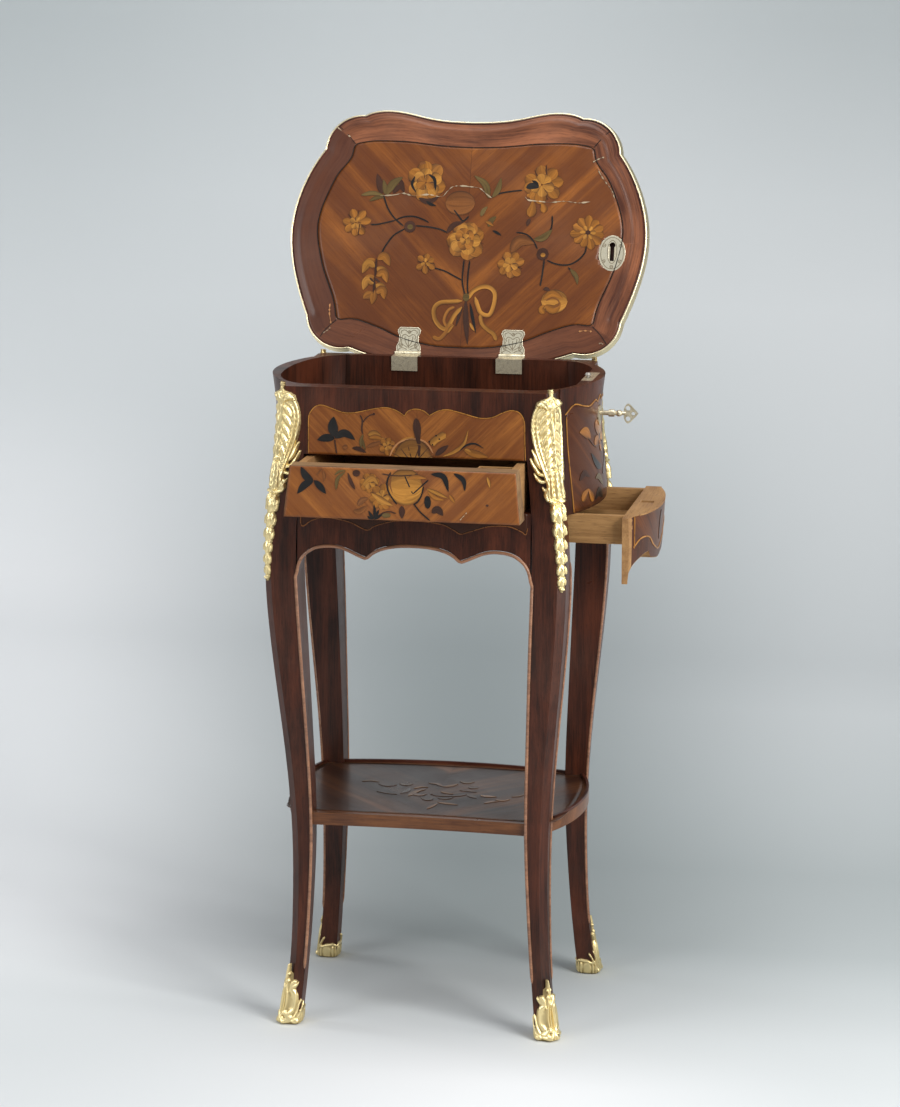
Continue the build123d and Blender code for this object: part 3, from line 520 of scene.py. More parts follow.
rosewood = solid_wood("rosewood veneer", (0.082, 0.022, 0.010), (0.018, 0.0055, 0.0030),
                      (0.006, 0.003, 0.002), "z", 55, 1.1, coat=0.06)
rosewood_long = solid_wood("rosewood along", (0.095, 0.026, 0.014), (0.018, 0.0055, 0.0035),
                           (0.006, 0.003, 0.002), "x", 55, 1.1, coat=0.12)
frame_wood = framed_veneer("frame of the lid", (0.32, 0.115, 0.050), (0.060, 0.017, 0.008),
                           (0.02, 0.007, 0.004))
field_wood = matched_veneer("tulipwood field", (0.27, 0.088, 0.016), (0.125, 0.036, 0.009),
                            (0.085, 0.023, 0.008), bands=30.0, band_share=0.7)
front_wood = matched_veneer("kingwood field", (0.36, 0.130, 0.026), (0.17, 0.052, 0.012),
                            (0.14, 0.040, 0.010), 2.0, 46, bands=60.0, band_share=0.6)
# the apron's field is darkened far below the front's: painted shade under the drawer that stands out over it
apron_wood_painted_shade = matched_veneer("field of the apron in painted shade", (0.085, 0.028, 0.010), (0.035, 0.011, 0.005),
                            (0.04, 0.013, 0.006), 2.0, 46, coat=0.08)
shelf_wood = matched_veneer("field of the shelf", (0.17, 0.070, 0.028), (0.050, 0.018, 0.009),
                            (0.035, 0.014, 0.008), 0.0, 40, gloss=0.34, coat=0.12, bands=26.0, band_share=1.0)
end_wood = matched_veneer("veneer of the ends", (0.15, 0.048, 0.013), (0.055, 0.016, 0.006),
                          (0.05, 0.014, 0.006), 0.0, 46, bands=34.0)
end_frame_wood = solid_wood("veneer round the end drawer", (0.10, 0.030, 0.012), (0.028, 0.009, 0.004),
                            (0.01, 0.004, 0.003), "z", 60, 1.0, coat=0.15)
oak = solid_wood("oak", (0.44, 0.25, 0.100), (0.25, 0.13, 0.048), (0.11, 0.055, 0.025), "x", 90, 1.0, 0.6,
                 gloss=0.62, coat=0.0, bump=0.3)
oak_deep = solid_wood("oak running back", (0.40, 0.225, 0.092), (0.23, 0.115, 0.046), (0.11, 0.055, 0.025),
                      "y", 90, 1.0, 0.6, gloss=0.62, coat=0.0, bump=0.3)
worn_oak = solid_wood("worn oak", (0.30, 0.175, 0.085), (0.13, 0.075, 0.040), (0.05, 0.03, 0.018), "x", 90,
                      1.1, 0.6, gloss=0.6, coat=0.0, bump=0.3)
old_oak = solid_wood("old dry oak", (0.10, 0.055, 0.03), (0.04, 0.022, 0.014), (0.02, 0.012, 0.008), "x",
                     80, 1.0, 0.6, gloss=0.75, coat=0.0, bump=0.3)
light_bead = solid_wood("light bead", (0.38, 0.185, 0.10), (0.16, 0.07, 0.038), (0.12, 0.05, 0.025), "x",
                        120, 0.9, gloss=0.24, coat=0.6)
shelf_edge = solid_wood("edge of the shelf", (0.20, 0.075, 0.024), (0.075, 0.026, 0.010),
                        (0.03, 0.012, 0.008), "x", 60, 1.0, gloss=0.32, coat=0.2)
inlay = inlay_wood("inlay woods")
worn_inlay = inlay_wood("worn inlay woods", (0.11, 0.045, 0.019))
gilt = metal("gilt bronze", (0.94, 0.77, 0.40), (0.24, 0.17, 0.07), 0.30, True, 0.2)
gilt_plain = metal("gilt moulding", (0.96, 0.84, 0.56), (0.50, 0.38, 0.19), 0.26, False, 0.25)
old_brass = metal("old brass", (0.78, 0.70, 0.52), (0.24, 0.20, 0.12), 0.34, False, 0.8, 260)
engraved_brass = metal("engraved brass", (0.80, 0.73, 0.55), (0.13, 0.10, 0.06), 0.30, True, 0.35, 260)
steel = metal("lock steel", (0.42, 0.40, 0.37), (0.14, 0.11, 0.08), 0.4, False, 0.7, 200)


# ---------------------------------------------------------------- marquetry
def width_profile(form, s):
    """Share of the half width at s, from 0 to 1 along a stroke, for each kind of inlaid shape."""
    if form == "leaf":  # pointed at both ends, fullest before the middle
        return np.sin(np.pi * s**0.85) ** 0.8
    if form == "petal":  # narrow at the root, rounded at the tip
        tip = np.sqrt(1 - np.clip((s - 0.6) / 0.4, 0, 0.999) ** 2)
        return (0.15 + 0.85 * np.clip(s / 0.6, 0, 1) ** 0.8) * tip
    if form == "disc":  # half an ellipse to each side
        return np.sqrt(np.clip(1 - (2 * s - 1) ** 2, 0.0004, 1))
    if form == "crack":  # ragged line
        rag = 0.30 + 0.45 * np.sin(61 * s + 3 * np.sin(23 * s)) + 0.3 * np.sin(29 * s)
        return np.minimum(1, 9 * np.minimum(s, 1 - s) + 0.1) * np.clip(rag, 0.04, 1)
    return np.minimum(1, 14 * np.minimum(s, 1 - s) + 0.25)  # stem and band


FINE = 1.2  # strokes of a smaller half width have neither scorched side nor saw line
STEP, STEPS_HIGH = 0.004, 0.07  # between overlapping inlays: one step, and all of them together


def inlays(name, strokes, surface, body, material=inlay, within=(-1e4, 1e4)):
    """Inlaid pieces on a surface. Each is a ribbon along a smooth path: place = path(s) +
    t * half_width * profile(s) * side(s), for t from -1 to 1, cut off outside the heights within.
    It lies one step higher than the pieces that it overlaps. Its faces look to the wood, so its
    thickness grows outwards and it stands a little over half a millimetre proud."""
    ribbons, boxes, layers = [], [], []
    for form, colour, half, *path in strokes:
        length = np.linalg.norm(np.diff(np.array(path), axis=0), axis=1).sum()
        rows, columns = int(np.clip(length / 1.6, 12, 70)), 3 if half < FINE else 7
        line = smooth_path(path, rows)
        way = np.gradient(line, axis=0)
        way /= np.linalg.norm(way, axis=1)[:, None] + 1e-9
        side = np.stack([way[:, 1], -way[:, 0]], 1)
        s = np.linspace(0, 1, rows)
        t = np.linspace(-1, 1, columns)
        wide = half * width_profile(form, s)
        flat = line[:, None] + side[:, None] * (wide[:, None] * t)[..., None]
        box = np.r_[flat.min((0, 1)), flat.max((0, 1))]
        earlier = np.array(boxes).reshape(-1, 4)
        over = (earlier[:, :2] < box[2:]).all(1) & (earlier[:, 2:] > box[:2]).all(1)
        layers.append(max((layer for layer, crossed in zip(layers, over) if crossed), default=-1) + 1)
        boxes.append(box)
        ribbons.append((flat, s[:, None] * length, t * half, colour, t * (half >= FINE)))
    step = min(STEP, STEPS_HIGH / (max(layers) + 1))
    points, faces, uv, tone, across = [], [], [], [], []
    total = 0
    for (flat, along, aside, colour, share), layer in zip(ribbons, layers):
        kept = (flat[..., 1] > within[0]) & (flat[..., 1] < within[1])
        cut = np.clip(flat[..., 1], *within)
        points.append(surface(flat[..., 0], cut, INLAY_LIFT + step * layer).reshape(-1, 3))
        quads = grid_faces(*flat.shape[:2])[:, ::-1]
        faces.append(quads[kept.ravel()[quads].any(1)] + total)
        total += kept.size
        shift = rng.uniform(0, 400, 2)  # every piece comes from its own part of the figure
        uv.append(stack(along + shift[0], aside + shift[1]).reshape(-1, 2))
        tone.append(np.full(kept.size, (colour + 0.5) / len(TONES)))
        across.append(np.broadcast_to(share, kept.shape).ravel())
    used, quads = np.unique(np.vstack(faces), return_inverse=True)
    points, uv, tone, across = (np.concatenate(part)[used] for part in (points, uv, tone, across))
    make_piece(name, points, quads.reshape(-1, 4), body, material, uv, {"tone": tone, "across": across},
               flat=True, **VENEER)


def field(name, left, right, low, high, surface, body, material, rows, columns, lift=VENEER_LIFT):
    """Veneered field between two sides and two edges: place = (left + s * (right - left),
    low(x) + t * (high(x) - low(x))), s and t from 0 to 1, on the surface."""
    x = np.linspace(left, right, columns)[None, :]
    t = np.linspace(0, 1, rows)[:, None]
    z = low(x) * (1 - t) + high(x) * t
    x = np.broadcast_to(x, z.shape)
    sheet(name, surface(x, z, lift), body, material, uv=np.stack([x, z], -1), **VENEER)


def curve_of(points):
    """Height over x along a smooth path through the points."""
    line = smooth_path(points, 400)
    order = np.argsort(line[:, 0], kind="stable")
    return lambda x: np.interp(x, line[order, 0], line[order, 1])


def level(z):
    """A straight edge at height z, for every x."""
    return lambda x: np.full_like(np.asarray(x, float), z)


def edge_strokes(points, tone, half, count):
    """A stringing line along a path cut into count points, as strokes that overlap."""
    line = smooth_path(points, count)
    return [("stem", tone, half, *map(tuple, line[i:i + 9])) for i in range(0, len(line) - 1, 8)]


# the lid: a field in a frame of wood that follows the lid's edge
LID_CENTRE = np.array([0.0, 130.0])
lid_tree = tree_of("lid_panel", "lid_strike_plate")
turns = np.linspace(0, 2 * np.pi, 721)[:-1]
lid_edge = []
for turn in turns:  # the panel's edge, read from outside towards the centre in its own plane
    way2 = np.array([np.cos(turn), np.sin(turn)])
    start = lid_point(*(LID_CENTRE + way2 * BEYOND), 5.0)
    way = -(way2[0] * LID_X + way2[1] * LID_UP)
    hit = first_hit(lid_tree, start, way) - np.array([0, HINGE_Y, HINGE_Z])
    lid_edge.append((hit[0], hit @ LID_UP))
lid_edge = np.array(lid_edge)

FIELD_HALF = [  # right half of the lid's field, from its front edge round the side to the hinges
    (2, 233.5), (30, 234.5), (52, 236.5), (77, 239), (113, 239.5), (137, 236), (141.5, 218.5), (158, 195),
    (174, 147), (167.6, 102), (152, 61), (146, 36), (125, 37), (98, 28.5), (70, 17), (35, 9.5), (2, 8),
]
FIELD_CORNERS = {(137, 236), (146, 36)}
SEAM_X = 2


def field_outline():
    """The closed outline: smooth runs between corners, mirrored about the seam."""
    runs, current = [], [FIELD_HALF[0]]
    for point in FIELD_HALF[1:]:
        current.append(point)
        if point in FIELD_CORNERS:
            runs.append(current)
            current = [point]
    runs.append(current)
    half = np.vstack([smooth_path(run, 60)[:-1] for run in runs] + [np.array([FIELD_HALF[-1]])])
    other = half[::-1] * (-1, 1) + (2 * SEAM_X, 0)
    return np.vstack([half, other[1:-1]])


outline = field_outline()
bearing = np.arctan2(outline[:, 1] - LID_CENTRE[1], outline[:, 0] - LID_CENTRE[0]) % (2 * np.pi)
order = np.argsort(bearing)
reach = np.linalg.norm(outline - LID_CENTRE, axis=1)
field_reach = np.interp(turns, bearing[order], reach[order], period=2 * np.pi)
rays = np.stack([np.cos(turns), np.sin(turns)], 1)
field_edge = LID_CENTRE + rays * field_reach[:, None]

MITRES = np.array([(137, 236), (-133, 236), (-142, 36), (146, 36)]) - LID_CENTRE  # corners of the frame
MITRE_TURNS = np.arctan2(MITRES[:, 1], MITRES[:, 0]) % (2 * np.pi)
LENGTHS_PAINTED_LIGHT = np.array([0.95, 0.16, 0.42, 0.90])  # painted light and shade of the frame's lengths, for how the lamps fall on them: front, left, hinges, right
STRIKE = np.array([163.5, 118.0])  # middle of the strike plate
STRIKE_HIDDEN = np.array([12.5, 17.5])  # half axes of the oval that its veneer leaves open


def under_strike(flat):
    """Points of the lid's underside that the strike plate covers and the lid bolt passes."""
    return (((flat - STRIKE) / STRIKE_HIDDEN) ** 2).sum(-1) < 1


RIDGE_IN, RIDGE_HALF, RIDGE_HIGH = 9.5, 4.2, 1.15  # place from the lid's edge, spread and height


def lid_side(name, surface, flip):
    """Field and frame of one face of the lid; the top is the mirror image of the underside.
    Field: centre + r * (edge - centre), r from 0 to 1. Frame: field edge + t * (lid edge - field
    edge), raised to a rounded ridge by exp(-(distance from the ridge / spread)^2)."""
    mirror_x = np.array([-1.0, 1.0]) if flip else np.array([1.0, 1.0])
    inner, outer = field_edge, lid_edge * 0.994 + LID_CENTRE * 0.006  # just inside the moulding
    # painted light and shade: each length of the frame takes its own share, the left one darkest
    painted_light = LENGTHS_PAINTED_LIGHT[np.searchsorted(MITRE_TURNS, turns) % 4 - 1]
    if flip:
        inner, outer, painted_light = inner[::-1] * mirror_x, outer[::-1] * mirror_x, painted_light[::-1]
    r = np.linspace(0.0, 1.0, 40)[:, None, None]
    flat = (LID_CENTRE * mirror_x) * (1 - r) + inner[None] * r
    sheet(f"lid_{name}_field", surface(flat[..., 0], flat[..., 1], VENEER_LIFT), "lid", field_wood,
          (False, True), True, None if flip else under_strike(flat), uv=flat, merge=0.01, **VENEER)
    t = np.linspace(0, 1, 22)[:, None]
    width = np.linalg.norm(outer - inner, axis=1)[None]
    flat = inner[None] * (1 - t[..., None]) + outer[None] * t[..., None]
    from_edge = (1 - t) * width
    clear = np.clip((flat[..., 1] - 36) / 8, 0, 1)  # no ridge beside the hinges
    ridge = np.exp(-((from_edge - RIDGE_IN) / RIDGE_HALF) ** 2) * clear
    swell = 0.10 + RIDGE_HIGH * ridge - 0.25 * np.exp(-(from_edge / 1.4) ** 2) * clear
    run = np.r_[0, np.cumsum(np.linalg.norm(np.diff(outer, axis=0), axis=1))]
    uv = stack(run[None, :], t * 28)
    grid = surface(flat[..., 0], flat[..., 1], swell)
    # the first column is repeated at the end, where the map of the grain starts anew
    grid = np.concatenate([grid, grid[:, :1]], 1)
    hole = None if flip else under_strike(np.concatenate([flat, flat[:, :1]], 1))
    uv = np.concatenate([uv, uv[:, :1] + (8, 0)], 1)
    # the painted light and shade goes to the frame as a point attribute
    painted_light = np.broadcast_to(np.append(painted_light, painted_light[0]), grid.shape[:2])
    sheet(f"lid_{name}_frame", grid, "lid", frame_wood, turned=True, hole=hole, uv=uv,
          values={"painted_light": painted_light}, merge=0.01, thick=0.8, slot="leg_veneer")


lid_side("under", on_lid_under, False)
lid_side("top", on_lid_top, True)


def bloom(x, y, size, turn, *rings):
    """A flower seen from the front. Each ring, the outermost first, gives the number of its
    petals, how far they reach and their half width as shares of the size, and their wood; a fine
    dark line lies in every gap. A petal bends a little, and no two reach equally far."""
    strokes = []
    for ring, (count, reach, half, wood) in enumerate(rings):
        for k in range(count):
            way = turn + 2 * np.pi * (k + ring / 2) / count + 0.16 * np.sin(5 * k + 3 * ring)
            far = size * reach * (0.93 + 0.09 * np.sin(7 * k + 2 * ring + 9 * turn))
            ray, side = np.array([np.cos(way), np.sin(way)]), np.array([-np.sin(way), np.cos(way)])
            bend = 0.10 * far * np.sin(3 * k + ring)
            path = ((x, y) + ray * far * s + side * bend * 4 * s * (1 - s) for s in (0.08, 0.55, 1))
            strokes.append(("petal", wood, half * size, *path))
            gap = way + np.pi / count
            ray = np.array([np.cos(gap), np.sin(gap)])
            strokes.append(("leaf", 1, 0.45, *((x, y) + ray * far * s for s in (0.25, 0.6, 0.86))))
    return strokes


def alike(form, wood, half, *paths):
    """Strokes of one kind along several paths."""
    return [(form, wood, half, *path) for path in paths]


# inlaid pieces: form, wood as its place in TONES, half width, then the points of the path
LID_STROKES = [
    *alike("stem", 0, 0.8,
           ((-72.5, 143.5), (-83, 152), (-91, 162.5), (-95.5, 173), (-97.5, 178.5)),
           ((-70.5, 140.5), (-82.5, 133), (-90, 123), (-94, 115.5), (-96.5, 107.5)),
           ((-82.5, 149.5), (-94, 146.5), (-103.5, 144.5), (-110, 144.5)),
           ((-82.5, 149.5), (-73.5, 153.5), (-62, 154.5), (-51, 151.5), (-44, 148)),
           ((-58.5, 144), (-44, 143), (-30.5, 140.5), (-22.5, 137)),
           ((-35.5, 97), (-23.5, 94), (-12, 88.5), (-3, 84)),
           ((-1.5, 107), (-2, 96.5), (-2, 81.5), (1.5, 68)), ((5, 106), (4, 93), (4, 77.5), (5.5, 66.5)),
           ((25, 178.5), (33, 182), (44.5, 184.5), (59.5, 186.5)),
           ((55.5, 139), (63.5, 138), (70, 135), (76, 128.5), (80, 121)),
           ((94.5, 158.5), (95, 150), (93.5, 142.5), (88, 136.5)),
           ((91.5, 108.5), (100, 105), (110, 103.5), (119, 105), (128, 111), (133.5, 118.5), (134.5, 126)),
           ((115.5, 101), (121.5, 95.5), (125.5, 90)), ((88.5, 109), (88, 102.5), (87, 91), (85.5, 79.5))),
    ("leaf", 1, 3.0, (3, 62.5), (4.5, 39.5), (8, 11.5)), ("leaf", 0, 1.7, (8, 58.5), (12, 42), (16.5, 25)),
    ("leaf", 1, 1.7, (-0.5, 54.5), (-3.5, 43.5), (-6.5, 32)),
    ("disc", 1, 6.5, (-71.5, 142.5), (-58.5, 143)),
    *bloom(-127, 146, 17.5, 0.2, (7, 1.0, 0.27, 4), (4, 0.5, 0.2, 5)),
    ("disc", 2, 3.1, (-68, 142.5), (-61.5, 142.5)), ("disc", 1, 6.8, (79.5, 115), (93, 115.5)),
    ("disc", 5, 2.6, (84, 114), (89.5, 114.5)),
    ("stem", 1, 0.6, (-122.5, 144.5), (-123, 137.5), (-123.5, 132)),
    ("leaf", 1, 3.9, (-99.5, 178.5), (-102, 190), (-106, 202.5)),
    ("leaf", 2, 2.7, (-95.5, 178.5), (-96.5, 188), (-98.5, 196)),
    ("leaf", 2, 4.6, (-94, 178.5), (-87, 191), (-76.5, 199)),
    ("leaf", 1, 2.7, (-86.5, 180), (-81.5, 186.5), (-74.5, 190.5)),
    ("leaf", 2, 2.7, (-123, 177.5), (-109.5, 180), (-96, 177.5)),
    ("leaf", 2, 2.3, (-113, 171), (-104.5, 175), (-96, 175.5)),
    *bloom(-50, 193, 25, 0.9, (7, 1.0, 0.36, 4), (6, 0.74, 0.30, 5), (4, 0.44, 0.24, 4)),
    ("leaf", 0, 1.5, (-62.5, 200.5), (-65.5, 190.5), (-60, 181)),
    ("leaf", 0, 1.9, (-47.5, 202.5), (-40.5, 197), (-38.5, 183.5)),
    ("leaf", 1, 2.9, (-78, 196), (-77, 188.5), (-74, 181.5)),
    ("leaf", 1, 3.1, (-57.5, 175.5), (-45.5, 171.5), (-33.5, 178)),
    ("leaf", 0, 1.7, (-48.5, 172), (-42.5, 168.5), (-36.5, 167)),
    ("leaf", 3, 1.9, (-58.5, 213.5), (-55, 215.5), (-51, 215)), ("disc", 3, 13.7, (-26.5, 170.5), (7, 171)),
    ("stem", 0, 0.8, (-16.5, 163), (-10, 155.5), (-5, 150.5), (1, 156)),
    *bloom(-1.3, 130, 24, 0.4,
           (7, 1.0, 0.38, 4), (6, 0.76, 0.34, 5), (5, 0.52, 0.27, 4), (3, 0.3, 0.19, 5)),
    ("leaf", 1, 3.1, (-23, 136), (-15.5, 145.5), (-3.5, 149.5)),
    ("leaf", 2, 2.5, (14.5, 156), (17, 162.5), (21.5, 167.5)),
    ("leaf", 2, 3.0, (23.5, 144.5), (26.5, 151.5), (32, 156.5)),
    ("leaf", 4, 1.9, (20, 150.5), (24.5, 149), (29.5, 145.5)),
    ("leaf", 0, 1.5, (28.5, 140.5), (33, 138.5), (39, 135)),
    ("leaf", 2, 3.8, (22.5, 176.5), (17.5, 192), (4.5, 202)),
    ("leaf", 2, 3.2, (26, 177.5), (32, 186.5), (35, 200)),
    ("petal", 4, 4.2, (78.5, 186.5), (82.5, 183), (85.5, 178.5)),
    ("petal", 4, 3.4, (73, 184.5), (69.5, 181.5), (65, 179.5)),
    ("petal", 4, 5.7, (72, 174.5), (72, 166.5), (69.5, 156.5)),
    ("petal", 4, 4.2, (81.5, 173), (84.5, 168), (85, 161.5)),
    *bloom(81, 193, 24, 0.2, (8, 1.0, 0.30, 4), (6, 0.6, 0.25, 5)),
    ("leaf", 0, 3.8, (63.5, 189), (70.5, 191.5), (78, 189.5)),
    ("leaf", 0, 1.7, (69.5, 197.5), (74.5, 195), (78, 190.5)),
    ("leaf", 1, 0.9, (85, 215.5), (85, 208.5), (86.5, 202.5)),
    ("leaf", 1, 2.1, (70, 155), (68.5, 151.5), (67, 146)),
    ("leaf", 2, 3.8, (75.5, 131.5), (85.5, 133.5), (95.5, 143)),
    ("leaf", 3, 6.4, (50.5, 116), (60, 129.5), (76.5, 127)),
    *bloom(50.5, 103, 17, 0.3, (7, 1.0, 0.31, 4), (5, 0.55, 0.25, 5)),
    *alike("petal", 4, 4.9,
           ((140, 139.5), (147.5, 138.5), (153.5, 137.5)), ((139, 137.5), (144.5, 132.5), (150.5, 128)),
           ((136.5, 136.5), (139, 129.5), (140.5, 121.5)), ((134, 136.5), (132, 129.5), (129.5, 124.5)),
           ((132, 138), (126, 133.5), (121.5, 129)), ((130.5, 140), (123.5, 139), (115.5, 138.5)),
           ((131, 142), (124.5, 145.5), (118.5, 148)), ((133, 144), (129, 150), (124.5, 156)),
           ((135.5, 144.5), (135.5, 151.5), (135.5, 160)), ((138, 144), (142, 149.5), (146.5, 154)),
           ((139.5, 142), (146.5, 144.5), (152, 147.5))),
    *alike("petal", 5, 2.6,
           ((137, 140.5), (140.5, 140.5), (144.5, 140.5)), ((136, 139), (138.5, 136), (140.5, 133.5)),
           ((134.5, 139), (133, 136), (131.5, 133)), ((134, 140.5), (130, 140.5), (126.5, 140)),
           ((134.5, 141.5), (132.5, 144.5), (130.5, 147.5)), ((136, 141.5), (138, 144.5), (139.5, 147.5))),
    ("disc", 1, 2.6, (132.5, 140.5), (138.5, 140.5)), ("leaf", 2, 2.6, (118, 99.5), (125, 91), (127, 82)),
    ("disc", 5, 13.2, (87.5, 62.5), (117, 63)), ("leaf", 4, 4.1, (89.5, 64.5), (99.5, 71.5), (112, 66)),
    ("leaf", 4, 4.9, (91.5, 58), (102, 53.5), (110, 61.5)),
    ("stem", 3, 0.8, (93, 63), (99.5, 66.5), (106.5, 64), (107.5, 58.5), (101, 55.5)),
    ("leaf", 1, 2.1, (89, 75.5), (93, 76.5), (97, 74)), ("petal", 4, 4.1, (91.5, 58), (88.5, 54), (92, 49)),
    *(("leaf", 4 + row % 2, 5.0, (-101 + way, u), (-101 + way * 9, u + 4 * way * (-1) ** row),
     (-101 + way * (16 - row), u - 7)) for row, u in enumerate((105, 96, 86, 77, 67)) for way in (-1, 1)),
    ("leaf", 4, 4.2, (-101, 70), (-101.5, 64), (-103, 54)),
    *alike("leaf", 1, 1.2,
           ((-100.5, 106.5), (-101, 94), (-101.5, 82.5)), ((-101.5, 82.5), (-101.5, 75), (-102.5, 65.5)),
           ((-102, 84.5), (-97.5, 81), (-94.5, 79)), ((-107.5, 84.5), (-104.5, 81.5), (-102, 79))),
    *bloom(-45, 102.5, 12.5, 0.5, (6, 1.0, 0.30, 4), (3, 0.45, 0.2, 5)),
    ("band", 5, 2.5, (-1, 60.5), (-12, 59.5), (-25.5, 58), (-32, 51.5), (-31, 40.5), (-24.5, 31.5),
     (-17.5, 29), (-13, 36), (-8, 45.5), (-1, 54)),
    ("band", 4, 1.9, (-9, 53.5), (-16, 49.5), (-20, 39), (-17, 31.5)),
    ("band", 5, 2.5, (4.5, 61.5), (10.5, 71.5), (20.5, 77), (30, 76), (35.5, 69), (34.5, 55.5), (30, 45.5),
     (21, 47.5), (16.5, 56), (13, 65.5)),
    ("band", 5, 2.3, (20, 45.5), (23, 35.5), (30, 29), (36.5, 24.5), (40, 17.5)),
    ("band", 4, 2.3, (-10, 34.5), (-16, 26.5), (-24, 17.5), (-32, 19.5)),
    ("disc", 2, 4.6, (-0.5, 64.5), (7, 65)), ("leaf", 5, 1.7, (9, 36.5), (12, 31.5), (15, 27)),
    ("leaf", 5, 1.7, (-15.5, 24), (-12, 30), (-8.5, 33.5)),
    *alike("crack", 6, 1.1,
           ((-101.5, 177), (-84.5, 178.5), (-75, 180.5), (-63.5, 178), (-46, 179.5), (-31.5, 177.5),
            (-25, 183.5), (-19, 189), (-8.5, 190), (3, 189)),
           ((-1.5, 189.5), (11, 188), (18, 182.5), (25.5, 177)),
           ((63, 179), (67, 175.5), (77.5, 174.5), (92.5, 173.5), (107.5, 175), (123, 173.5), (136, 175))),
    ("crack", 6, 1.0, (-155, 254.5), (-148, 249), (-139, 243.5)),
    ("crack", 7, 1.7, (-150.5, 54), (-150.5, 43), (-148, 31)),
    ("crack", 6, 0.8, (-156.5, 20.5), (-152, 23.5), (-148.5, 27)),
    ("crack", 6, 1.3, (136.5, 219.5), (142.5, 223), (149, 225.5)),
    ("crack", 6, 0.8, (142.5, 211.5), (149.5, 200.5), (159.5, 188), (163, 179)),
    ("crack", 6, 1.1, (154.5, 17), (157, 17.5), (159, 16.5)),
    ("crack", 7, 1.9, (131, 30), (138.5, 31), (146, 30.5)),
]
UPPER_STROKES = [
    ("leaf", 0, 5.4, (-85, 648), (-87.5, 659), (-86.5, 669.5)),
    ("leaf", 0, 4.2, (-85.5, 646.5), (-94.5, 647), (-104, 644.5)),
    ("leaf", 0, 4.1, (-85.5, 647), (-75, 652.5), (-63.5, 646)),
    ("stem", 1, 0.7, (-85.5, 645.5), (-84.5, 639), (-83, 631)),
    ("disc", 3, 2.5, (-76.5, 638), (-71.5, 638)),
    ("leaf", 1, 2.3, (-66.5, 637.5), (-59, 636.5), (-51.5, 633)),
    ("stem", 1, 0.7, (-58.5, 672), (-56, 666.5), (-56.5, 658), (-55.5, 652)),
    ("stem", 1, 0.6, (-55.5, 664), (-52.5, 668.5), (-48, 672), (-43.5, 673.5)),
    ("disc", 1, 1.2, (-45, 673.5), (-42.5, 673.5)),
    ("leaf", 2, 1.7, (-55, 652), (-57.5, 644), (-56.5, 637)),
    ("leaf", 2, 1.4, (-56, 648), (-54.5, 641), (-52, 635.5)),
    ("leaf", 5, 3.7, (-50, 651.5), (-44, 653), (-36, 651.5)),
    ("leaf", 4, 2.7, (-49, 648.5), (-42, 649.5), (-32.5, 647.5)),
    ("leaf", 5, 1.7, (-34.5, 649), (-31, 646), (-27.5, 643.5)),
    ("leaf", 3, 2.3, (-51, 639), (-43, 642), (-34, 645)),
    *bloom(-29, 641, 10, 0.5, (6, 1.0, 0.36, 4), (4, 0.5, 0.26, 5)),
    ("stem", 5, 0.7, (-26, 631), (-22, 638), (-17, 644.5), (-10, 649), (-1, 650.5)),
    ("disc", 5, 27.5, (-22.5, 621.5), (19, 623)),
    ("stem", 7, 0.8, (-26.5, 629.5), (-22.5, 638.5), (-16, 645), (-7, 648), (1.5, 648.5), (9, 647),
     (15, 642), (19.5, 634.5)),
    *(("leaf", 1, 0.5, (-1.5, 622), (-1.5 + 13 * np.cos(a), 622 + 13 * np.sin(a)),
     (-1.5 + 25 * np.cos(a), 622 + 25 * np.sin(a))) for a in (0.45, 0.85, 1.25, 1.85, 2.25, 2.65)),
    ("petal", 1, 4.1, (4, 641.5), (2.5, 657.5), (1, 670.5)),
    ("stem", 1, 1.4, (4, 652), (5, 643), (4.5, 630.5)),
    ("band", 5, 3.9, (17, 643.5), (22.5, 649), (32.5, 655)),
    *alike("disc", 0, 0.9,
           ((21.5, 653), (23.5, 653)), ((25, 649.5), (27, 649.5)), ((14.5, 646.5), (16.5, 646.5)),
           ((18, 643.5), (19.5, 643.5))),
    ("leaf", 1, 3.0, (22, 632.5), (28, 637.5), (35.5, 643.5)),
    ("leaf", 5, 1.9, (29.5, 631.5), (42, 637), (52, 645.5), (56.5, 660.5)),
    ("leaf", 0, 1.0, (47, 637.5), (54.5, 644), (63.5, 646), (73, 641.5)),
    ("leaf", 4, 3.9, (52, 639.5), (62.5, 636), (78, 632.5)),
    ("leaf", 5, 1.6, (53, 640), (56.5, 639.5), (60, 637)),
]
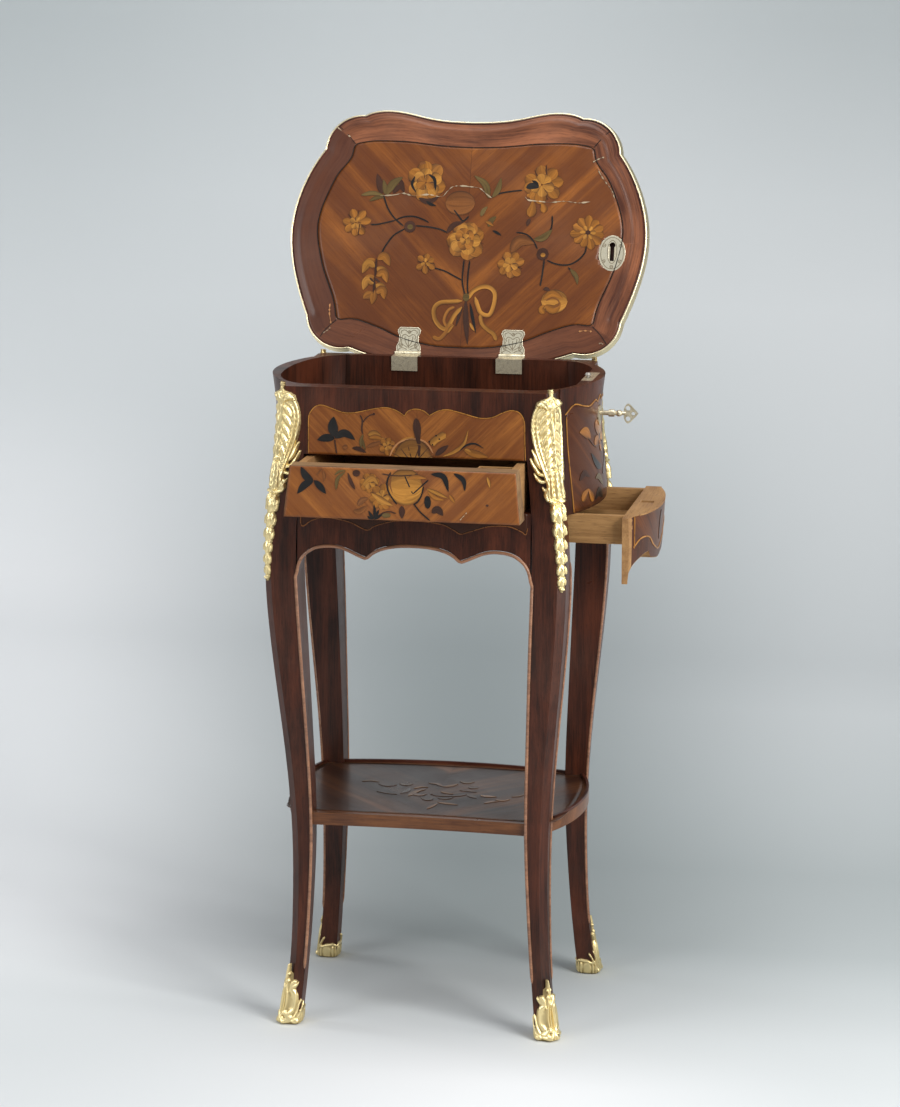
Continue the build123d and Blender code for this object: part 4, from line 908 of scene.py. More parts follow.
DRAWER_STROKES = [
    ("leaf", 0, 4.0, (-92.5, 613), (-100.5, 618.5), (-106, 628)),
    ("leaf", 0, 3.8, (-92.5, 614), (-101.5, 609.5), (-109.5, 600)),
    ("leaf", 0, 3.4, (-92, 614.5), (-85.5, 608.5), (-79, 601)),
    ("stem", 3, 0.7, (-89, 620), (-86.5, 623.5), (-83.5, 626.5)),
    ("leaf", 3, 1.3, (-82.5, 624.5), (-81, 619.5), (-81.5, 614)),
    ("leaf", 2, 1.9, (-68.5, 605.5), (-67, 617), (-59, 624.5)),
    ("leaf", 2, 1.3, (-70.5, 620.5), (-65, 624.5), (-58.5, 625.5)),
    ("leaf", 1, 1.9, (-48.5, 606.5), (-53, 614), (-56.5, 623.5)),
    ("disc", 1, 3.4, (-51.5, 623), (-43.5, 623.5)),
    *bloom(-34, 614, 11.5, 0.3, (7, 1.0, 0.36, 4), (5, 0.6, 0.28, 5)),
    *bloom(-20, 599, 14.5, 0.8, (8, 1.0, 0.32, 4), (5, 0.6, 0.26, 5)),
    ("leaf", 5, 2.8, (-41, 611.5), (-31, 619), (-24, 612)),
    ("leaf", 5, 3.2, (-31.5, 603.5), (-20, 596.5), (-8.5, 591.5)),
    ("leaf", 3, 2.9, (-45.5, 590), (-41, 595.5), (-34.5, 598.5)),
    ("leaf", 3, 2.9, (-50, 585), (-43.5, 584.5), (-35, 590.5)),
    ("disc", 5, 18.8, (-13.5, 610.5), (22, 612)),
    ("stem", 0, 0.8, (-11.5, 625.5), (-15, 616), (-14.5, 608), (-10.5, 600.5), (-4.5, 593)),
    ("leaf", 3, 0.9, (-10.5, 620), (-12, 612.5), (-9, 603.5)),
    ("stem", 0, 0.7, (3, 622.5), (7.5, 613), (12, 604)),
    ("stem", 0, 0.7, (12, 604), (20, 611.5), (28, 619)),
    ("stem", 1, 0.6, (-21, 623.5), (-8.5, 622), (5, 622.5), (17, 624.5)),
    ("stem", 0, 0.7, (23, 612), (21, 603.5), (17.5, 596.5), (12.5, 593)),
    ("leaf", 4, 2.5, (5, 619.5), (15, 621.5), (26, 620.5)),
    ("stem", 0, 0.7, (13.5, 593.5), (20.5, 585.5), (30.5, 577.5)),
    *alike("leaf", 0, 1.5,
           ((-28, 577.5), (-27.5, 585), (-28.5, 592.5)), ((-28.5, 577), (-31.5, 581), (-34, 585.5)),
           ((-27.5, 577), (-25, 582.5), (-23, 587)), ((-28, 576.5), (-23.5, 579.5), (-18.5, 583.5))),
    ("leaf", 0, 1.4, (-28.5, 576.5), (-32, 577.5), (-35, 580)),
    ("stem", 1, 0.6, (-22.5, 581.5), (-17, 584.5), (-11, 585), (-5, 583.5)),
    ("disc", 2, 2.5, (-20, 581), (-10.5, 581.5)), ("leaf", 1, 3.2, (0.5, 591.5), (1, 585), (1, 578.5)),
    ("leaf", 0, 2.9, (30.5, 625), (43.5, 622.5), (49, 607.5)),
    ("leaf", 0, 2.5, (54, 626.5), (64, 620), (66, 609)),
    ("leaf", 5, 2.0, (26, 610), (37, 606), (48.5, 601)),
    ("leaf", 4, 2.3, (27.5, 607), (36, 601), (45, 599)), ("disc", 0, 6.5, (24, 596), (31, 596.5)),
    ("leaf", 1, 3.8, (32, 585.5), (38, 589), (44, 583)),
    ("leaf", 5, 1.6, (88.5, 624), (90.5, 619.5), (92, 613)),
    ("leaf", 4, 1.8, (50, 604.5), (53, 600.5), (56, 596.5)), ("disc", 1, 1.1, (88, 595), (91, 595)),
    ("crack", 6, 0.7, (61.5, 579), (65, 583), (68.5, 587)),
]
SHELF_STROKES = [
    ("leaf", 0, 3.2, (-38, -21), (-33.5, -12.5), (-31.5, 2.5)),
    ("leaf", 5, 4.0, (-27.5, -30), (-22.5, -10.5), (-14, -1.5)),
    ("leaf", 4, 3.2, (-27.5, -15.5), (-16.5, -24.5), (-9, -19)),
    ("leaf", 0, 3.6, (-13, -31), (-3, -40), (0, -28.5)),
    ("leaf", 0, 1.6, (6, -32.5), (16, -33), (22, -26.5)), ("leaf", 5, 3.6, (2, 13), (10, 18.5), (17, 27)),
    ("leaf", 5, 3.2, (3.5, -5.5), (14, -11), (19.5, -13.5)),
    ("leaf", 0, 4.4, (30, 18.5), (36.5, 16), (39.5, 24)),
    ("leaf", 0, 3.2, (34.5, -11), (42.5, -20.5), (47.5, -24.5)),
    ("leaf", 5, 3.6, (49, -11.5), (54.5, -14.5), (68, -15.5)),
    ("leaf", 5, 2.4, (68, -26.5), (76.5, -28.5), (84.5, -22)),
    ("leaf", 5, 2.9, (9, -49), (19.5, -50.5), (32.5, -54)),
    ("leaf", 2, 2.4, (-90, 18), (-80.5, 23.5), (-70, 18)),
    ("leaf", 0, 2.0, (-69.5, 10.5), (-58, 5), (-48.5, 10.5)),
    ("leaf", 4, 2.8, (-16, 24.5), (-5.5, 23), (3, 13)),
    ("leaf", 2, 2.8, (-48, 18.5), (-38.5, 12.5), (-31.5, 18)),
    ("leaf", 4, 2.4, (2.5, -75.5), (6, -64), (10, -52.5)),
    ("leaf", 1, 1.0, (-41, -25.5), (-51.5, -23.5), (-65, -19)),
    ("leaf", 1, 1.0, (43, -1.5), (34.5, 0.5), (23.5, 2)),
    ("leaf", 4, 2.8, (59, -43), (65.5, -34.5), (73.5, -32.5)),
    ("leaf", 2, 2.4, (16.5, 38.5), (26, 32.5), (33.5, 38)),
    ("leaf", 5, 2.4, (-27.5, -0.5), (-21, 8.5), (-12.5, 6.5)),
    ("leaf", 1, 1.0, (-5, -18.5), (6, -23.5), (26, -20), (36.5, -10.5)),
    ("leaf", 2, 2.0, (84, -12.5), (91.5, -7), (96, 1)),
]
CORNER_STROKES = [  # mitres of the frame at its corners
    ("stem", 0, 0.4, (137, 236), (146, 247), (154, 255)),
    *alike("stem", 0, 0.35,
           ((-133, 236), (-143, 247), (-152, 255)), ((146, 36), (156, 26), (163, 16)),
           ((-142, 36), (-153, 26), (-160, 16))),
]
string_line = edge_strokes(np.vstack([outline, outline[:1]])[::3], 0, 0.42, 240)
inlays("lid_under_marquetry", string_line + CORNER_STROKES + LID_STROKES, on_lid_under, "lid")
flowers = [s for s in LID_STROKES if s[0] != "crack"]
mirrored = [(form, wood, half, *((-x, u) for x, u in path))
            for form, wood, half, *path in string_line + flowers]
inlays("lid_top_marquetry", mirrored, on_lid_top, "lid")

# the front: one cartouche runs over the fixed panel, the drawer and the apron
UPPER_EDGE = [
    (-113.5, 668), (-111.5, 673.5), (-106.4, 679.3), (-99.2, 681.1), (-87.5, 677.5), (-78.9, 674.6),
    (-69.6, 673.7), (-58.9, 675.3), (-45.1, 678.6), (-33.1, 680.5), (-24.8, 679.5), (-17.4, 676.4),
    (-11.3, 672.4),
]
MIDDLE_HUMP = [(-11.3, 672.4), (-7.5, 677.5), (-0.2, 680), (8.5, 678.5), (15.2, 673.7)]
UPPER_EDGE_RIGHT = [
    (15.2, 673.7), (24.6, 678.7), (34.0, 680.4), (45.3, 678.3), (64.3, 673.4), (73.6, 672.5), (83.0, 674.3),
    (92.3, 678.8), (101.6, 681.6), (109.2, 679.9), (113.3, 675.0), (115.5, 668),
]
UPPER_LOW = 629.8  # lower edge of the fixed panel
LIGHT_LINE = (5, 0.42)  # wood and half width of a stringing line


def cartouche_top(x):
    """Upper edge of the cartouche, in three curves that meet in two cusps."""
    parts = [curve_of(p) for p in (UPPER_EDGE, MIDDLE_HUMP, UPPER_EDGE_RIGHT)]
    return np.where(x < -11.3, parts[0](x), np.where(x < 15.2, parts[1](x), parts[2](x)))


field("upper_front_field", -113.5, 115.5, level(UPPER_LOW), cartouche_top, on_front, "carcass", front_wood,
      24, 220)
border = (
    edge_strokes([(-113.3, 630.2), (-113.5, 650), (-113.4, 668)] + UPPER_EDGE[1:], *LIGHT_LINE, 90)
    + edge_strokes(MIDDLE_HUMP, *LIGHT_LINE, 25)
    + edge_strokes(UPPER_EDGE_RIGHT[:-1] + [(115.4, 668), (116, 650), (117, 630.2)], *LIGHT_LINE, 90)
)
inlays("upper_front_marquetry", UPPER_STROKES + border, on_front, "carcass", within=(UPPER_LOW, 700))
drawer_low, drawer_high = box_mm("front_drawer_face")[:, 2]
face_tree = tree_of("front_drawer_face")


def drawer_face_end(z):
    """Half length of the drawer's face at height z, a little behind its front edge."""
    return first_hit(face_tree, (300, on_drawer(0, z, -1.0)[1], z), (-1, 0, 0))[0]


side_low, side_high = (drawer_face_end(z) for z in (drawer_low + 1, drawer_high - 1))
rise = drawer_high - drawer_low
CLEAR = 0.3  # the veneer ends this far from the edges of the face
s_line, t_line = np.linspace(-1, 1, 120)[None, :], np.linspace(0, 1, 24)[:, None]
zz = np.broadcast_to(drawer_low + t_line * (rise - CLEAR), (24, 120))
xx = s_line * (side_low + t_line * (side_high - side_low) - CLEAR / 2)
sheet("front_drawer_field", on_drawer(xx, zz, VENEER_LIFT), "front_drawer", front_wood,
      uv=np.stack([xx, zz], -1), **VENEER)
inlays("front_drawer_marquetry", DRAWER_STROKES, on_drawer, "front_drawer",
       within=(drawer_low + CLEAR, drawer_high - CLEAR))

APRON_EDGE = [
    (-120.5, 568), (-120.5, 557), (-117.5, 554.0), (-108.5, 560.2), (-92.4, 563.8), (-68.7, 560.0),
    (-49.8, 552.3), (-40.8, 556.8), (-20.7, 562.5), (7.0, 563.5), (30, 561), (42, 556), (50, 551.8),
    (60.2, 554.6), (80.1, 560.7), (100.2, 561.5), (114, 556.8), (119, 553.6), (121, 560.5),
]
apron_low = curve_of(APRON_EDGE)
# the apron's field takes the veneer darkened with painted shade
field("apron_field", -119, 120, apron_low, level(575.2), on_front, "carcass", apron_wood_painted_shade, 10, 200)
inlays("apron_border", edge_strokes(APRON_EDGE, 3, 0.5, 180), on_front, "carcass")


def both_ways(half, middle):
    """An outline from its left half and its middle point, and the mirror image of that half."""
    return half + [middle] + [(-y, z) for y, z in half[::-1]]


# the bowed ends: an upper cartouche and, on the right, its lower part on the drawer
END_HALF = 78
END_TOP = both_ways([(-80, 672), (-66, 681), (-50, 677.5), (-34, 675), (-18, 679), (-9, 676)], (0, 682))
END_LOW = both_ways([(-80, 534), (-62, 541), (-40, 538), (-24, 527), (-8, 520)], (0, 518))
END_STROKES = [
    ("stem", 1, 0.7, (0, 545), (4, 580), (-2, 610), (3, 640)),
    ("leaf", 1, 5, (0, 560), (18, 566), (34, 580)), ("leaf", 0, 5, (0, 572), (-16, 580), (-30, 574)),
    ("leaf", 1, 4.5, (3, 596), (20, 604), (30, 618)), ("leaf", 0, 4.5, (0, 604), (-17, 610), (-32, 624)),
    ("leaf", 2, 4, (2, 585), (-14, 596), (-26, 596)), ("petal", 4, 7, (2, 636), (-6, 648), (-14, 654)),
    ("petal", 5, 7, (2, 636), (2, 650), (3, 662)), ("petal", 4, 7, (2, 636), (11, 646), (20, 652)),
    ("petal", 5, 6, (2, 636), (14, 636), (24, 634)), ("petal", 4, 6, (2, 636), (-10, 634), (-19, 630)),
    ("petal", 4, 5, (2, 636), (5, 628), (9, 620)), ("disc", 1, 3.4, (-1, 637), (6, 637)),
    ("leaf", 4, 6, (-30, 640), (-42, 648), (-56, 650)), ("leaf", 5, 4, (30, 640), (44, 648), (58, 648)),
    ("stem", 1, 0.6, (0, 628), (20, 630), (36, 642)), ("stem", 1, 0.6, (0, 628), (-20, 630), (-38, 642)),
    ("disc", 4, 6, (40, 596), (53, 596)), ("leaf", 0, 3, (40, 605), (50, 612), (62, 610)),
    ("leaf", 1, 3.4, (-64, 600), (-52, 606), (-40, 600)),
    ("petal", 4, 5, (-46, 588), (-54, 584), (-62, 578)),
    ("petal", 5, 5, (-46, 588), (-50, 578), (-50, 568)),
    ("petal", 4, 5, (-46, 588), (-40, 580), (-34, 574)), ("leaf", 1, 5, (0, 560), (3, 545), (0, 528)),
]


def end_dressing(name, surface, body, z0, z1):
    """Field, lines and inlays of one end between two heights."""
    upper, lower = curve_of(END_TOP), curve_of(END_LOW)

    def top(y):
        return np.minimum(upper(y), z1)

    def base(y):
        return np.maximum(lower(y), z0)

    field(f"{name}_field", -END_HALF, END_HALF, base, top, surface, body, end_wood, 30, 90)
    lines = []
    if z1 > 660:
        lines += edge_strokes(END_TOP, 5, 0.6, 90)
    if z0 < 530:
        lines += edge_strokes(END_LOW, 5, 0.8, 90)
    for y in (-END_HALF, END_HALF):
        side = [(y, max(z0, 536)), (y, (z0 + z1) / 2), (y, min(z1, 670))]
        lines += edge_strokes(side, 5, 0.6, 17)
    kept = [stroke for stroke in END_STROKES
            if min(z for _, z in stroke[3:]) > z0 + 2 and max(z for _, z in stroke[3:]) < z1 - 1]
    inlays(f"{name}_marquetry", kept + lines, surface, body, within=(z0, z1))


end_dressing("left_end", on_left_end, "carcass", 500, 700)
end_dressing("right_end", on_right_end, "carcass", 568.2, 700)

end_tree = tree_of("end_drawer_face")
veneer_y = np.linspace(-83, 83, 84)


def lowest_hit(y):
    """Height of the lower edge of the end drawer's face at y, found by level rays going up."""
    met = (z for z in np.arange(470, 560, 0.5)
           if first_hit(end_tree, (BEYOND, y, z), (-1, 0, 0)) is not None)
    return next(met, np.nan)


veneer_low = np.array([lowest_hit(y) for y in veneer_y])
met = ~np.isnan(veneer_low)
field("end_drawer_veneer", *veneer_y[met][[0, -1]],
      lambda y: np.interp(y, veneer_y[met], veneer_low[met] + CLEAR), level(566.5), on_end_drawer,
      "end_drawer", end_frame_wood, 60, 160, 0.02)  # lower than the field that lies on it
end_dressing("end_drawer", on_end_drawer, "end_drawer", 500, 566.4)


# ---------------------------------------------------------------- gilt mounts
SUNK = -1.6  # height of a casting's pattern where it lies below the wood


def ridge_height(a, z, ridges):
    """Relief over a flat pattern: for each ridge the height is top * sqrt(1 - (d / w)^2) at distance
    d from its path, w being its half width, which narrows towards both ends; the highest wins.
    Away from every ridge the surface sinks below the wood."""
    best = np.full(a.shape, SUNK)
    for half, top, bite, *path in ridges:
        length = np.linalg.norm(np.diff(np.array(path), axis=0), axis=1).sum()
        line = smooth_path(path, max(3, int(length / 1.1)))
        near, share = np.full(a.shape, 1e9), np.zeros(a.shape)
        for index, ((x0, z0), (x1, z1)) in enumerate(zip(line[:-1], line[1:])):
            run = max((x1 - x0) ** 2 + (z1 - z0) ** 2, 1e-9)
            t = np.clip(((a - x0) * (x1 - x0) + (z - z0) * (z1 - z0)) / run, 0, 1)
            gap = np.hypot(a - x0 - t * (x1 - x0), z - z0 - t * (z1 - z0))
            closer = gap < near
            near = np.where(closer, gap, near)
            share = np.where(closer, (index + t) / (len(line) - 1), share)
        width = half * (1 - bite * np.abs(2 * share - 1) ** 2.2)
        ratio = near / np.maximum(width, 0.15)
        lump = top * np.sqrt(np.clip(1 - ratio**2, 0, 1)) * (1 - 0.35 * bite * np.abs(2 * share - 1))
        foot = SUNK - SUNK * np.clip(1.6 - ratio * 0.6, 0, 1)
        best = np.maximum(best, np.where(ratio < 1, lump, foot))
    return best


def both_sides(lines):
    """The lines and their mirror images; each is some numbers and then the points of its path."""
    return lines + [tuple((-part[0], part[1]) if isinstance(part, tuple) else part for part in line)
                    for line in lines]


SHIELD = ((586, 7.6), (592, 9.0), (602, 8.6), (612, 10.8), (622, 13.8), (634, 17.4), (648, 20.2), (664, 21.4),
          (678, 19.6), (688, 15.6), (693, 10.0), (696.5, 3.0))  # half width of the plate over its height
WING = [  # half width, height, taper, path: rims of the shield, sprigs of its lower side, leaves on it
    (2.1, 4.6, 0.3, (-8, 690), (-14.5, 686), (-18.8, 676), (-20.4, 662), (-18.8, 647), (-15, 632),
     (-10.8, 617), (-8, 602)),
    (1.7, 3.9, 0.3, (-9, 683), (-14, 677), (-16, 665), (-15, 650), (-12, 635), (-9, 621)),
    (2.4, 4.2, 0.5, (-12, 621), (-17, 627), (-19.6, 635), (-22, 641)),
    (2.4, 4.0, 0.5, (-11, 615), (-17, 618), (-22, 626), (-24.4, 632)),
    (2.2, 3.8, 0.5, (-9.5, 610), (-15, 609), (-19, 612), (-21.6, 617)),
    (2.0, 3.6, 0.5, (-8, 603), (-12, 600), (-14.4, 603)),
    (2.6, 4.6, 0.4, (-8, 601), (-11.4, 596), (-10.2, 590)), (3.6, 6.6, 0.15, (-9.5, 689), (-13.4, 688.4)),
    (2.6, 6.0, 0.5, (-3, 685), (-7, 691), (-11, 692)),
    (2.6, 5.6, 0.5, (-5, 684), (-11.5, 689.5), (-16, 686)),
    (2.9, 4.6, 0.6, (-1.5, 681), (-7.5, 677), (-12.6, 668)),
    (2.9, 4.6, 0.6, (-1.5, 672), (-7.5, 667), (-12.6, 657)),
    (2.9, 4.6, 0.6, (-1.5, 662), (-7.2, 656), (-11.8, 646)),
    (2.8, 4.6, 0.6, (-1.5, 652), (-6.6, 646), (-10.4, 636)),
    (2.6, 4.6, 0.6, (-1.5, 641), (-5.6, 635), (-8.4, 626)),
    (2.0, 5.0, 0.3, (-4, 620), (-5.2, 607), (-5.4, 594)),
    (1.8, 4.4, 0.3, (-7.6, 612), (-8.6, 601), (-8.2, 592)), (2.6, 5.6, 0.2, (-2, 588.5), (-8, 589.5)),
    (1.8, 5.6, 0.3, (-1.9, 684), (-1.6, 668), (0, 655)), (3.0, 5.6, 0.3, (-4.5, 585), (-6.6, 577)),
]
STEM = [
    (3.4, 6.6, 0.3, (0, 684), (0, 692.5)), (2.2, 5.8, 0.2, (0, 658), (0, 626)),
    (2.4, 5.6, 0.3, (0, 618), (0, 592)), (3.2, 6.6, 0.0, (0, 624.5), (0.4, 623.5)),
    (4.6, 6.4, 0.3, (-4, 687), (4, 687)), (2.4, 6.8, 0.0, (0, 649), (0.3, 648)),
    (2.4, 6.8, 0.0, (0, 638), (0.3, 637)),
]
PLATE_END = 586  # below the plate hangs a string of husks
HUSK_WIDE = ((494, 1.5), (499, 3.6), (512, 4.4), (528, 5.2), (545, 6), (560, 6.4), (571, 6.2), (577, 7.4),
             (PLATE_END, 8))
HUSKS = [(2.4, 4.6, 0.0, (0, 497.5), (0.4, 497.5))]
for low, size in ((573, 1.12), (558, 1.05), (543, 0.96), (529, 0.86), (516, 0.78), (504, 0.66)):
    leaf = (-1.2, low + 8 * size), (-4.4 * size, low + 3), (-5.6 * size, low - 3 * size)
    HUSKS += [(3.6 * size, 6.0 * size, 0.4, (0, low + 8 * size), (0, low - 5 * size)),
              *both_sides([(2.9 * size, 5.0 * size, 0.45, *leaf)])]


def mount_surface(a, z, h):
    """The right front corner unrolled: a is the distance round the corner from the middle of its
    flat, towards the end positive; h stands along a normal that turns smoothly round the corner."""
    grow = leg_offset(z)
    flat = ARRIS / np.sqrt(2)  # half the width of the flat
    over = np.maximum(np.abs(a) - flat, 0)
    inside = np.clip(np.abs(a), 0, flat) / np.sqrt(2)
    x = CORNER_X + grow - ARRIS / 2 + np.sign(a) * inside - np.where(a < 0, over, 0)
    y = -(CORNER_Y + grow - ARRIS / 2 - np.sign(a) * inside) + np.where(a > 0, over, 0)
    turn = np.pi / 4 * np.tanh(a / 9.0)
    normal = np.stack([np.sin(np.pi / 4 + turn), -np.cos(np.pi / 4 + turn), np.zeros_like(turn)], -1)
    return stack(x, y, z) + normal * np.asarray(h)[..., None]


CORNERS = {  # how the right front corner is carried to each leg: flips of X and Y, then its shift
    "front_right": ((1, 1), (0, 0)), "front_left": ((-1, 1), (0, 0)),
    "back_right": ((1, -1), (BACK_SPLAY, 0)), "back_left": ((-1, -1), (-BACK_SPLAY, 0)),
}


def carried(points, corner):
    """Points of the right front corner carried to another, and whether that turns them inside out."""
    flips, shift = CORNERS[corner]
    moved = points * np.array([*flips, 1.0]) + np.array([*shift, 0.0])
    return moved, flips[0] * flips[1] < 0


SKIN_FLOOR = -0.9  # faces of a casting that lie wholly below this are left out
FULL_RELIEF = 6.0  # height at which the metal keeps no dirt


def relief_pieces(kind, grid, height, thick):
    """One casting at each corner from a grid of points and its relief. Quads that lie wholly
    under the wood are left out."""
    faces = grid_faces(*height.shape)
    used, faces = np.unique(faces[(height.ravel()[faces] > SKIN_FLOOR).any(1)], return_inverse=True)
    faces = faces.reshape(-1, 4)
    relief = np.clip(height.ravel()[used] / FULL_RELIEF, 0, 1)
    for corner in CORNERS:
        moved, turned = carried(grid.reshape(-1, 3)[used], corner)
        piece = make_piece(f"{corner}_{kind}_casting", moved, faces[:, ::-1] if turned else faces,
                           "carcass", gilt, values={"relief": relief}, thick=thick, slot="gilt_bronze")
        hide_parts(f"{corner}_{kind}")


a_line, z_line = np.arange(-35, 31.1, 0.6), np.arange(494, 704.5, 0.6)
aa, zz = np.meshgrid(a_line, z_line)
squeezed = np.where(aa > 0, aa * 1.12, aa)  # the wing on the end is a little narrower
mount_height = ridge_height(squeezed, zz, both_sides(WING) + STEM + HUSKS)
wide = np.where(zz > PLATE_END, np.interp(zz, *zip(*SHIELD)), np.interp(zz, *zip(*HUSK_WIDE)))
wide = wide + 0.7 * np.sin(zz * 1.15) * (zz < 640) + 0.35 * np.sin(zz * 2.9 + np.sign(aa))  # ragged outline
inside = np.clip((wide - np.abs(squeezed)) / 2.4, 0, 1)
flutes = 0.35 * np.cos(2 * np.pi * (np.abs(squeezed) + 0.8 * zz) / 4.2)
plate = np.where(inside > 0, 2.3 * np.sqrt(inside) + flutes, SUNK)
mount_height = np.maximum(mount_height, plate)  # the ground that carries the rims and leaves
vein = 0.28 * np.cos(2 * np.pi * (squeezed * 0.9 + 0.25 * zz) / 1.9)
veined = mount_height + vein * np.clip(mount_height / 5, 0, 1)
mount_height = np.where(mount_height > 0.4, veined, mount_height)
relief_pieces("mount", mount_surface(aa, zz, mount_height), mount_height, 0.6)

# shoes: a skin round the foot with scrolls at the toe, flutes and a leafy tongue up the corner
SHOE = [  # scrolls at the toe, long fluted leaves with their tips, and a shelly band round the sides
    (4.2, 5.2, 0.1, (-13, 4.5), (-8, 4), (-4.5, 6.5)),
    (3.2, 4.6, 0.2, (-3, 8), (-7, 12.5), (-12, 11.5), (-14.5, 7.5)),
    (2.4, 4.0, 0.3, (-2.4, 8), (-4.4, 20), (-3.2, 33), (-1, 41)),
    (2.2, 4.0, 0.3, (-7, 11), (-10, 22), (-8.6, 33), (-5, 42), (-6.5, 48)),
    (2.4, 3.8, 0.3, (-14, 10), (-17.6, 20), (-16.6, 32), (-13, 41), (-15, 47)),
    (2.2, 3.6, 0.4, (-11, 35), (-15.6, 42), (-19, 46)),
    (2.8, 3.4, 0.3, (-18, 8), (-23, 15), (-26, 23), (-30, 27)),
    (2.6, 3.2, 0.3, (-22, 6), (-30, 10), (-36, 19), (-41, 24)),
    (3.6, 4.4, 0.1, (-19, 4.5), (-26, 4.5)), (2.4, 3.6, 0.3, (0, 44), (-4.4, 48), (-8.6, 47)),
    (2.0, 3.2, 0.4, (-1, 50), (-4.6, 55), (-8, 54.5)),
    (8.5, 1.9, 0.1, (-6, 12), (-8, 28), (-6, 42)), (8, 1.8, 0.1, (-24, 8), (-17, 28)),
    (2.0, 2.8, 0.1, (-30, 15.5), (-40, 13.5), (-50, 16.5), (-61, 15)),
] + [(3.9, 2.9, 0.25, (a, 3), (a + 1.6, 12)) for a in (-32, -39, -46, -53, -60)]
SHOE_MIDDLE = [
    (4.0, 5.6, 0.2, (0, 3.5), (0, 9)), (2.8, 4.6, 0.3, (-5, 42.5), (0, 39.5), (5, 42.5)),
    (2.6, 4.2, 0.4, (0, 42), (1.2, 54), (-0.6, 64.5)), (3.0, 3.6, 0.3, (-2, 52), (2, 57)),
    (4.6, 2.0, 0.2, (0, 38), (0, 60)),
]
FOOT_IN = ((0, -15.5), (85, -23.5), (150, -27.5))  # offset of the foot's inner faces over the height
FOOT_ROUND = 19.5  # radius at which the pattern of the shoe is measured round the foot
FLARE = 0.13  # widening of the foot, per millimetre down, below the lowest read height


def shoe_surface(turn, z, h):
    """Skin round the foot: a superellipse with the foot's four faces, turned so that angle 0 is
    the outer corner; h stands outwards from it."""
    grow = leg_offset(z) + np.where(z < heights[0], (heights[0] - z) * FLARE, 0)
    deep = np.interp(z, *zip(*FOOT_IN))
    half = (grow - deep) / 2
    middle_x = CORNER_X + (grow + deep) / 2
    middle_y = -(CORNER_Y + (grow + deep) / 2)
    angle = turn - np.pi / 4
    c, s = np.cos(angle), np.sin(angle)
    power = 2 / 4.2
    cx, sy = np.sign(c) * np.abs(c) ** power, np.sign(s) * np.abs(s) ** power
    cut = 1 - 0.085 * np.exp(-((np.angle(np.exp(1j * turn))) / 0.32) ** 2)  # the rounded outer corner
    reach = half[..., None] * stack(cx, sy) * cut[..., None]
    way = stack(c, s)
    flat = stack(middle_x, middle_y) + reach + way * np.asarray(h)[..., None]
    return np.concatenate([flat, z[..., None]], -1)


turn_line, z_line = np.linspace(-np.pi, np.pi, 150), np.arange(0.35, 66, 0.6)
tt, zz = np.meshgrid(turn_line, z_line)
around = tt * FOOT_ROUND
shoe_height = ridge_height(around, zz, both_sides(SHOE) + SHOE_MIDDLE)
shoe_height = np.maximum(shoe_height, np.where(zz < 17 - 0.06 * np.abs(around), 0.9, SUNK))
shoe_height = np.where(zz < 2.0, shoe_height * np.clip(zz / 2.0, 0.35, 1), shoe_height)
relief_pieces("sabot", shoe_surface(tt, zz, shoe_height), shoe_height, 0.5)


# ---------------------------------------------------------------- moulding round the lid
SECTION = [  # section of the moulding: how far out from the lid's edge, how high through the lid
    (-0.2, 0.4), (0.9, -0.2), (1.7, 0.1), (2.0, 1.0), (1.5, 1.9), (1.2, 3.2), (1.4, 5.0), (2.0, 6.8),
    (2.9, 8.2), (3.5, 9.6), (3.6, 11.2), (3.2, 12.6), (2.2, 13.5), (0.8, 13.7), (-0.2, 13.2),
]


def lid_edge_moulding():
    """The section carried round the lid: place = edge + out * normal, at its height through the lid."""
    edge = LID_CENTRE + (lid_edge - LID_CENTRE) * 0.9995  # its back edge just inside the lid's
    way = np.roll(edge, -2, 0) - np.roll(edge, 2, 0)
    way /= np.linalg.norm(way, axis=1)[:, None]
    normal = np.stack([way[:, 1], -way[:, 0]], 1)
    out, high = np.array(SECTION).T
    flat = edge[:, None] + normal[:, None] * out[None, :, None]
    grid = lid_point(flat[..., 0], flat[..., 1], np.broadcast_to(high, flat.shape[:2]))
    piece = sheet("lid_edge_moulding", grid, "lid", gilt_plain, (True, True), slot="gilt_bronze")
    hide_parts("lid_moulding")


lid_edge_moulding()


# ---------------------------------------------------------------- engraved plates of the lid
def engraved(x, u, lines):
    """One on the plain metal, nought in the engraved lines, each given by its half width and path."""
    clean = np.ones(x.shape)
    for half, *path in lines:
        cut = ridge_height(x, u, [(half + 0.6, 1.0, 0.0, *path)])
        clean = np.minimum(clean, 1 - np.clip(cut, 0, 1) * (cut > 0.2))
    return clean


def ring(x, u, wide, high, count):
    """Points round an ellipse, closed."""
    return [(x + wide * np.cos(t), u + high * np.sin(t)) for t in np.linspace(0, 2 * np.pi, count)]


def screw_lines(radius, *screws):
    """Edges and slots of countersunk screws, each given by its place and the turn of its slot."""
    lines = []
    for x, u, turn in screws:
        c, s = radius * 0.8 * np.cos(turn), radius * 0.8 * np.sin(turn)
        lines += [(0.12, *ring(x, u, radius, radius, 14)), (0.2, (x - c, u - s), (x + c, u + s))]
    return lines


def engraved_sheet(name, x, u, rim, clean, closed=(False, False), turned=False):
    """Engraved sheet over a plate in the lid's underside: it rises from its edge to the height that
    rim gives from 0 to 1, and sinks in the engraved lines."""
    lift = PLATE_LIFT + 0.023 * rim - 0.012 * (1 - clean)
    sheet(f"{name}_engraving", on_lid_under(x, u, lift), "lid", engraved_brass, closed, turned,
          values={"relief": clean}, thick=0.3, slot="old_brass")


